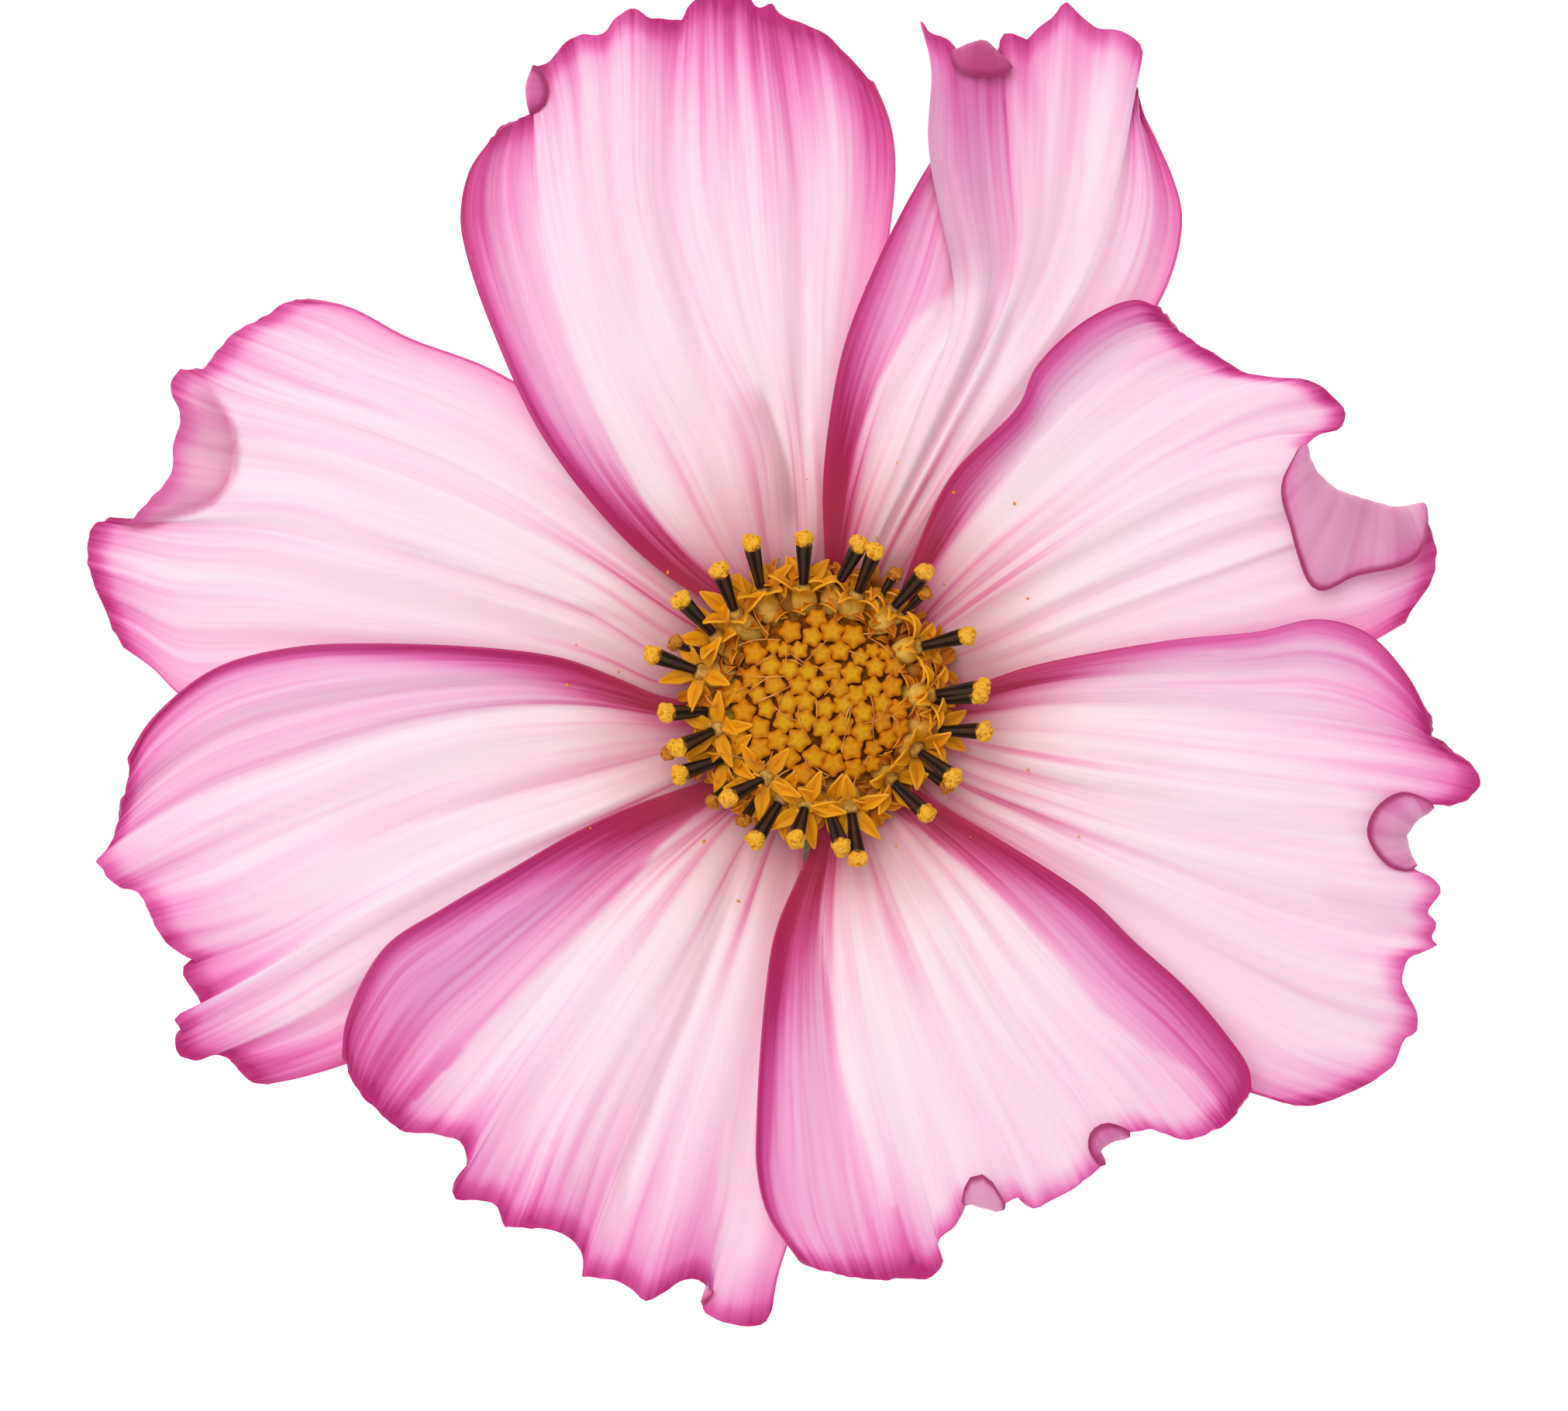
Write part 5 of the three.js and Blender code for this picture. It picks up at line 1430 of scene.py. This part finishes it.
def grown(model, name, root, throat, axis, turn, tone, size=1.0):
    """A copy of a model with its tube bent from its root on the disc to its throat, from where it
    follows the axis."""
    copy = model.copy()
    copy.data = model.data.copy()
    copy.name = name
    bpy.context.collection.objects.link(copy)
    points = read_points(copy) * (size, size, size)
    c, s = math.cos(turn), math.sin(turn)
    x, y, z = points[:, 0] * c - points[:, 1] * s, points[:, 0] * s + points[:, 1] * c, points[:, 2]
    root, throat = Vector(root), Vector(throat)
    start = (throat - root).normalized().lerp(Vector((0, 0, 1)), 0.5).normalized()
    first, last = start.to_track_quat("Z", "Y"), axis.to_track_quat("Z", "Y")
    if first.dot(last) < 0:
        last.negate()
    length = (throat - root).length
    p1, p2 = root + start * length * 0.4, throat - axis * length * 0.4
    share = np.clip(1 + z / (TUBE_LENGTH * size), 0, 1)
    placed = np.empty_like(points)
    for i, w in enumerate(share):
        v = 1 - w
        middle = v**3 * root + 3 * v * v * w * p1 + 3 * v * w * w * p2 + w**3 * throat
        placed[i] = middle + first.slerp(last, w) @ Vector((x[i], y[i], max(z[i], 0)))
    placed += (*AXIS, 0)
    write_points(copy, placed * MM)
    keep_value(copy, "tone", np.full(len(placed), tone))
    return copy


column = turned("anther_column", COLUMN_RINGS, 30)
points = read_points(column)
angle = np.arctan2(points[:, 1], points[:, 0])
rib = np.abs(np.cos(2.5 * angle)) ** 0.7 - 0.5
rib *= np.clip((points[:, 2] - 0.3) * 4, 0, 1)
points[:, :2] *= (1 + 0.2 * rib)[:, None]
points[:, 2] += np.where(points[:, 2] > 2.8, 0.16 * rib, 0)
write_points(column, points)
keep_value(column, "rib", rib)
keep_value(column, "level", points[:, 2])
face_out(column)

bpy.ops.mesh.primitive_ico_sphere_add(subdivisions=4, radius=POLLEN_RADIUS, location=(0, 0, 0))
pollen = bpy.context.object
points = read_points(pollen)
direction = points / np.linalg.norm(points, axis=1)[:, None]
grains = np.random.default_rng(5).normal(0, 1, (POLLEN_GRAINS, 3))
grains /= np.linalg.norm(grains, axis=1)[:, None]
size = np.random.default_rng(6).uniform(0.4, 1.6, len(grains))
bulge = np.clip(1 - (1 - direction @ grains.T) / (0.016 * size), 0, 1) ** 0.6 * size
lump = bulge.max(axis=1) / 1.6
broad = np.clip(1 - (1 - direction @ grains[:9].T) / 0.22, 0, 1).max(axis=1)
points = direction * (0.42 + 0.12 * lump + 0.14 * broad)[:, None] * (1, 1, 0.9)
write_points(pollen, points + (0, 0, POLLEN_REACH - 0.12))
keep_value(pollen, "lump", lump)

# The open florets on the upper right lean out with their anthers and have curled lobes. Those on
# the lower left face up more than their anthers do, and show open stars.
starry = corolla_model("starry_corolla", math.radians(12), 0.15, 1.0)
cupped = corolla_model("cupped_corolla", math.radians(36), 0.3, 1.15)
curled = corolla_model("curled_corolla", math.radians(24), 0.85, 0.85)
corollas, columns_grown, caps = [], [], []
chance = np.random.default_rng(21)
for i, (face, tip) in enumerate(OPEN_FLORETS):
    level = FACE_Z + (-FACE_STEP if i % 2 else FACE_STEP)
    root, throat = root_under(*face), Vector((*face, level))
    axis = lean_of(face, tip)
    towards = math.atan2(axis.y, axis.x)
    facing = 0.66 + 0.34 * math.cos(towards - math.radians(50))
    sine = math.hypot(axis.x, axis.y) * facing
    face_axis = Vector((math.cos(towards) * sine, math.sin(towards) * sine, math.sqrt(1 - sine * sine)))
    turn, tone = chance.uniform(0, 6.28), chance.random()
    model = starry if facing < 0.6 else curled if 0 < towards < 1.2 else cupped
    size = chance.uniform(0.94, 1.06)
    corollas.append(grown(model, f"corolla_{i}", root, throat, face_axis, turn, tone, size))
    columns_grown.append(grown(column, f"column_{i}", root, throat, axis, turn + 0.3, tone))
    caps.append(grown(pollen, f"cap_{i}", root, throat, axis, turn * 2, tone))
for i, (x, y) in enumerate(OLD_CAPS):
    root, mouth = root_under(x, y), Vector((0.76 * x, 0.76 * y, OLD_MOUTH_Z))
    knob = Vector((x, y, OLD_CAP_Z))
    axis = (knob - mouth).normalized()
    columns_grown.append(grown(column, f"old_column_{i}", root, mouth, axis, i, 0.5, OLD_COLUMN_SIZE))
    under_cap = knob - axis * POLLEN_REACH * OLD_CAP_SIZE
    caps.append(grown(pollen, f"old_cap_{i}", root, under_cap, axis, i, OLD_TONE, OLD_CAP_SIZE))
open_florets = joined(corollas, "open_florets")
anthers = joined(columns_grown, "anther_columns")
pollen_caps = joined(caps, "pollen_caps")

spent = []
for i, (x, y) in enumerate(SPENT_FLORETS):
    root, throat = root_under(x, y), Vector((x, y, SPENT_Z))
    axis = Vector((x, y, 5.0)).normalized()
    turn, tone = chance.uniform(0, 6.28), chance.random()
    spent.append(grown(curled, f"spent_{i}", root, throat, axis, turn, tone, 0.92))
for i in range(WITHERED):
    towards = 2 * math.pi * (i + chance.uniform(-0.4, 0.4)) / WITHERED
    reach = WITHERED_REACHES[i % 3] + chance.uniform(-0.25, 0.25)
    level = 12.25 - 0.5 * (reach - 5) + chance.uniform(-0.2, 0.2)
    x, y = math.cos(towards), math.sin(towards)
    root, throat = root_under(x, y), Vector((reach * x, reach * y, level))
    axis = (Vector((x, y, 0.9)) + Vector(chance.normal(0, 0.25, 3))).normalized()
    turn, tone, size = chance.uniform(0, 6.28), chance.random(), chance.uniform(0.58, 0.85)
    spent.append(grown(curled, f"withered_{i}", root, throat, axis, turn, tone, size))
spent_florets = joined(spent, "spent_florets")
for model in (starry, cupped, curled, column, pollen):
    bpy.data.objects.remove(model)


def corolla_material(name, goblet, cream, mouth, lobe, shadow, brown):
    """A floret's skin from its tube to its lobes' tips, with a share of brown where it is old."""
    skin, shade = new_material(name)
    out, middle, tone = shade.kept("out"), shade.kept("middle"), shade.kept("tone")
    grain = shade.noise(shade.place(), 2400, 3)
    colour = out.fade(0.08, 0.22).tint(srgb(*goblet), srgb(*cream))
    colour = out.fade(0.3, 0.4).tint(colour, srgb(*mouth))
    colour = (grain.fade(0.35, 0.7) * out.fade(0.1, 0.3) * 0.4).tint(colour, srgb(*goblet))
    colour = out.fade(0.38, 0.55).tint(colour, srgb(*lobe))
    colour = (middle.fade(0.55, 1.0) * out.fade(0.42, 0.6) * 0.7).tint(colour, srgb(*shadow))
    # Painted highlight along the lobes' raised edges, opposite the painted shadow down their middles.
    colour = (middle.fade(0.4, 0.0) * out.fade(0.42, 0.6) * 0.4).tint(colour, srgb(250, 190, 54))
    colour = (tone.fade(0.3, 1.0) * brown * grain.fade(0.3, 0.7, 0.5, 1)).tint(colour, srgb(176, 92, 18))
    relief = shade.bump(grain, 0.4, 0.00005)
    finish_surface(skin, colour, grain.fade(0.2, 0.8, 0.45, 0.62), relief, Specular_IOR_Level=0.15)
    return skin


FRESH = ((146, 104, 26), (244, 196, 88), (230, 164, 44), (238, 156, 10), (206, 116, 2), 0.3)
FADED = ((136, 92, 30), (184, 124, 44), (182, 106, 16), (214, 122, 6), (168, 80, 3), 0.8)
open_florets.data.materials.append(corolla_material("floret_gold", *FRESH))
spent_florets.data.materials.append(corolla_material("floret_spent", *FADED))
anther_skin, shade = new_material("anther_brown")
rib, level = shade.kept("rib"), shade.kept("level")
grain = shade.noise(shade.place(), 3600, 3)
# Painted shade in the grooves between the ribs and lighter ribs, mixed with the skin's own grain.
colour = (rib.fade(-0.1, 0.5) * 0.6 + grain * 0.4).fade(0.15, 0.9).tint(srgb(30, 17, 10), srgb(72, 50, 36))
stalk = grain.fade(0.3, 0.7).tint(srgb(168, 118, 40), srgb(214, 168, 86))
colour = level.fade(0.42, 0.24).tint(colour, stalk)
colour = level.fade(2.7, 2.92).tint(colour, srgb(150, 98, 40))
finish_surface(anther_skin, colour, 0.7, shade.bump(grain, 0.5, 0.00006), Specular_IOR_Level=0.12)
anthers.data.materials.append(anther_skin)
pollen_skin, shade = new_material("pollen_yellow")
lump, tone = shade.kept("lump"), shade.kept("tone")
grain = shade.noise(shade.place(), 5200, 3)
# Painted shade in the crevices between the lumps, lighter on the lumps, mixed with the pollen's own grain.
crumbly = lump * 0.6 + grain * 0.4
colour = crumbly.fade(0.15, 0.75).tint(srgb(206, 120, 12), srgb(252, 188, 58))
old = crumbly.fade(0.2, 0.8).tint(srgb(150, 72, 12), srgb(214, 138, 48))
colour = tone.fade(1.2, 1.8).tint(colour, old)
finish_surface(pollen_skin, colour, 0.85, shade.bump(grain, 0.9, 0.00012), Specular_IOR_Level=0.1)
pollen_caps.data.materials.append(pollen_skin)
for piece in (open_florets, spent_florets, anthers, pollen_caps):
    smooth_shaded(piece, 60)
    settle(piece, "disc", "disc")

# ---- Chaff and pollen crumbs ----
# Fine dry bristles grow between the buds and curl over them, and a few crumbs of pollen have
# fallen onto the petals round the disc.

BRISTLE_RADIUS = 0.042
SHORT_BRISTLES = 26
BRISTLE_POINTS = 11
CRUMBS = 34
CRUMB_REACHES = (7.6, 17)
LONG_BRISTLES = [
    [(-4.6, 2.9), (-3.9, 3.15), (-3.1, 3.25), (-2.2, 3.2)],
    [(2.9, 3.3), (3.7, 2.8), (4.3, 2.1), (4.9, 0.9)],
    [(1.9, -0.3), (1.7, -1.2), (1.45, -2.2), (1.25, -3.2)],
    [(2.9, 0.1), (3.1, -0.9), (3.0, -1.7), (2.6, -2.4)],
    [(1.8, -0.4), (1.55, -1.1), (1.4, -1.7)], [(-0.3, -4.0), (0.1, -4.3), (0.6, -4.55)],
    [(2.8, -3.4), (2.6, -3.8), (2.3, -4.2)], [(3.9, -0.2), (3.7, -0.8), (3.55, -1.4)],
    [(4.3, 1.7), (4.1, 1.3), (3.8, 0.9)], [(-0.2, -0.2), (-0.15, -1), (-0.3, -1.8)],
    [(0.3, 0.1), (0.8, 0.6), (1.2, 1.1)], [(-2.0, 2.1), (-1.4, 2.0), (-0.9, 1.7)],
    [(-3.7, 1.7), (-3.2, 2.0), (-2.7, 2.3)], [(-2.3, -0.6), (-2.25, -0.1), (-2.1, 0.2)],
]

hairs = bpy.data.curves.new("chaff", "CURVE")
hairs.dimensions = "3D"
hairs.bevel_depth = BRISTLE_RADIUS * MM
hairs.bevel_resolution = 1
hairs.use_fill_caps = True
hairs.resolution_u = 6
chance = np.random.default_rng(33)
bristles = [curve_points(line, np.linspace(0, 1, BRISTLE_POINTS)) for line in LONG_BRISTLES]
for _ in range(SHORT_BRISTLES):
    towards = chance.uniform(0, 2 * math.pi)
    reach = chance.uniform(1.2, 5.4)
    heading = towards + chance.uniform(-1.4, 1.4)
    bend = chance.uniform(-0.8, 0.8)
    turns = heading + bend * np.linspace(0, 1, BRISTLE_POINTS)
    step = chance.uniform(1.0, 2.4) / (BRISTLE_POINTS - 1)
    steps = step * np.column_stack([np.cos(turns), np.sin(turns)])
    bristles.append(np.cumsum(steps, axis=0) + (reach * math.cos(towards), reach * math.sin(towards)))
for line in bristles:
    spline = hairs.splines.new("POLY")
    spline.points.add(len(line) - 1)
    for k, spot in enumerate(line):
        share = k / (len(line) - 1)
        ground = float(disc_height(min(math.hypot(*spot), 5.0)))
        level = ground + 0.45 + 0.4 * math.sin(min(share * 2.6, 1.4)) + 0.1 * share
        spline.points[k].co = ((spot[0] + AXIS[0]) * MM, (spot[1] + AXIS[1]) * MM, level * MM, 1)
        spline.points[k].radius = 1.15 - 0.7 * share
chaff = bpy.data.objects.new("chaff", hairs)
bpy.context.collection.objects.link(chaff)
only(chaff)
bpy.ops.object.convert(target="MESH")
chaff = bpy.context.object
chaff_skin, shade = new_material("chaff_tan")
grain = shade.noise(shade.place(), 900, 2)
finish_surface(chaff_skin, grain.fade(0.35, 0.65).tint(srgb(236, 168, 82), srgb(204, 116, 38)), 0.6)
chaff.data.materials.append(chaff_skin)
smooth_shaded(chaff, 80)
settle(chaff, "disc", "disc")

bpy.ops.mesh.primitive_ico_sphere_add(subdivisions=1, radius=1.0, location=(0, 0, 0))
crumb = bpy.context.object
tops = np.concatenate(petal_tops)
away = np.hypot(tops[:, 0], tops[:, 1])
tops = tops[(away > CRUMB_REACHES[0]) & (away < CRUMB_REACHES[1])]
placements = []
while len(placements) < CRUMBS:
    spot = tops[chance.integers(len(tops))]
    if chance.random() > math.exp(-(math.hypot(spot[0], spot[1]) - 8) / 4):
        continue
    near = np.hypot(tops[:, 0] - spot[0], tops[:, 1] - spot[1]) < 0.12
    level = tops[near, 2].max()
    size = chance.uniform(0.05, 0.14)
    place = Vector((spot[0] + AXIS[0], spot[1] + AXIS[1], level + 0.3 * size)) * MM
    squash = Matrix.Diagonal((size * MM, size * MM * chance.uniform(0.7, 1), 0.6 * size * MM, 1))
    spin = Matrix.Rotation(chance.uniform(0, 6.28), 4, "Z")
    placements.append(Matrix.Translation(place) @ spin @ squash)
crumbs = repeated(crumb, "pollen_crumbs", placements, 6)
keep_value(crumbs, "lump", np.full(len(crumbs.data.vertices), 0.4))
crumbs.data.materials.append(pollen_skin)
settle(crumbs, "disc", "disc")
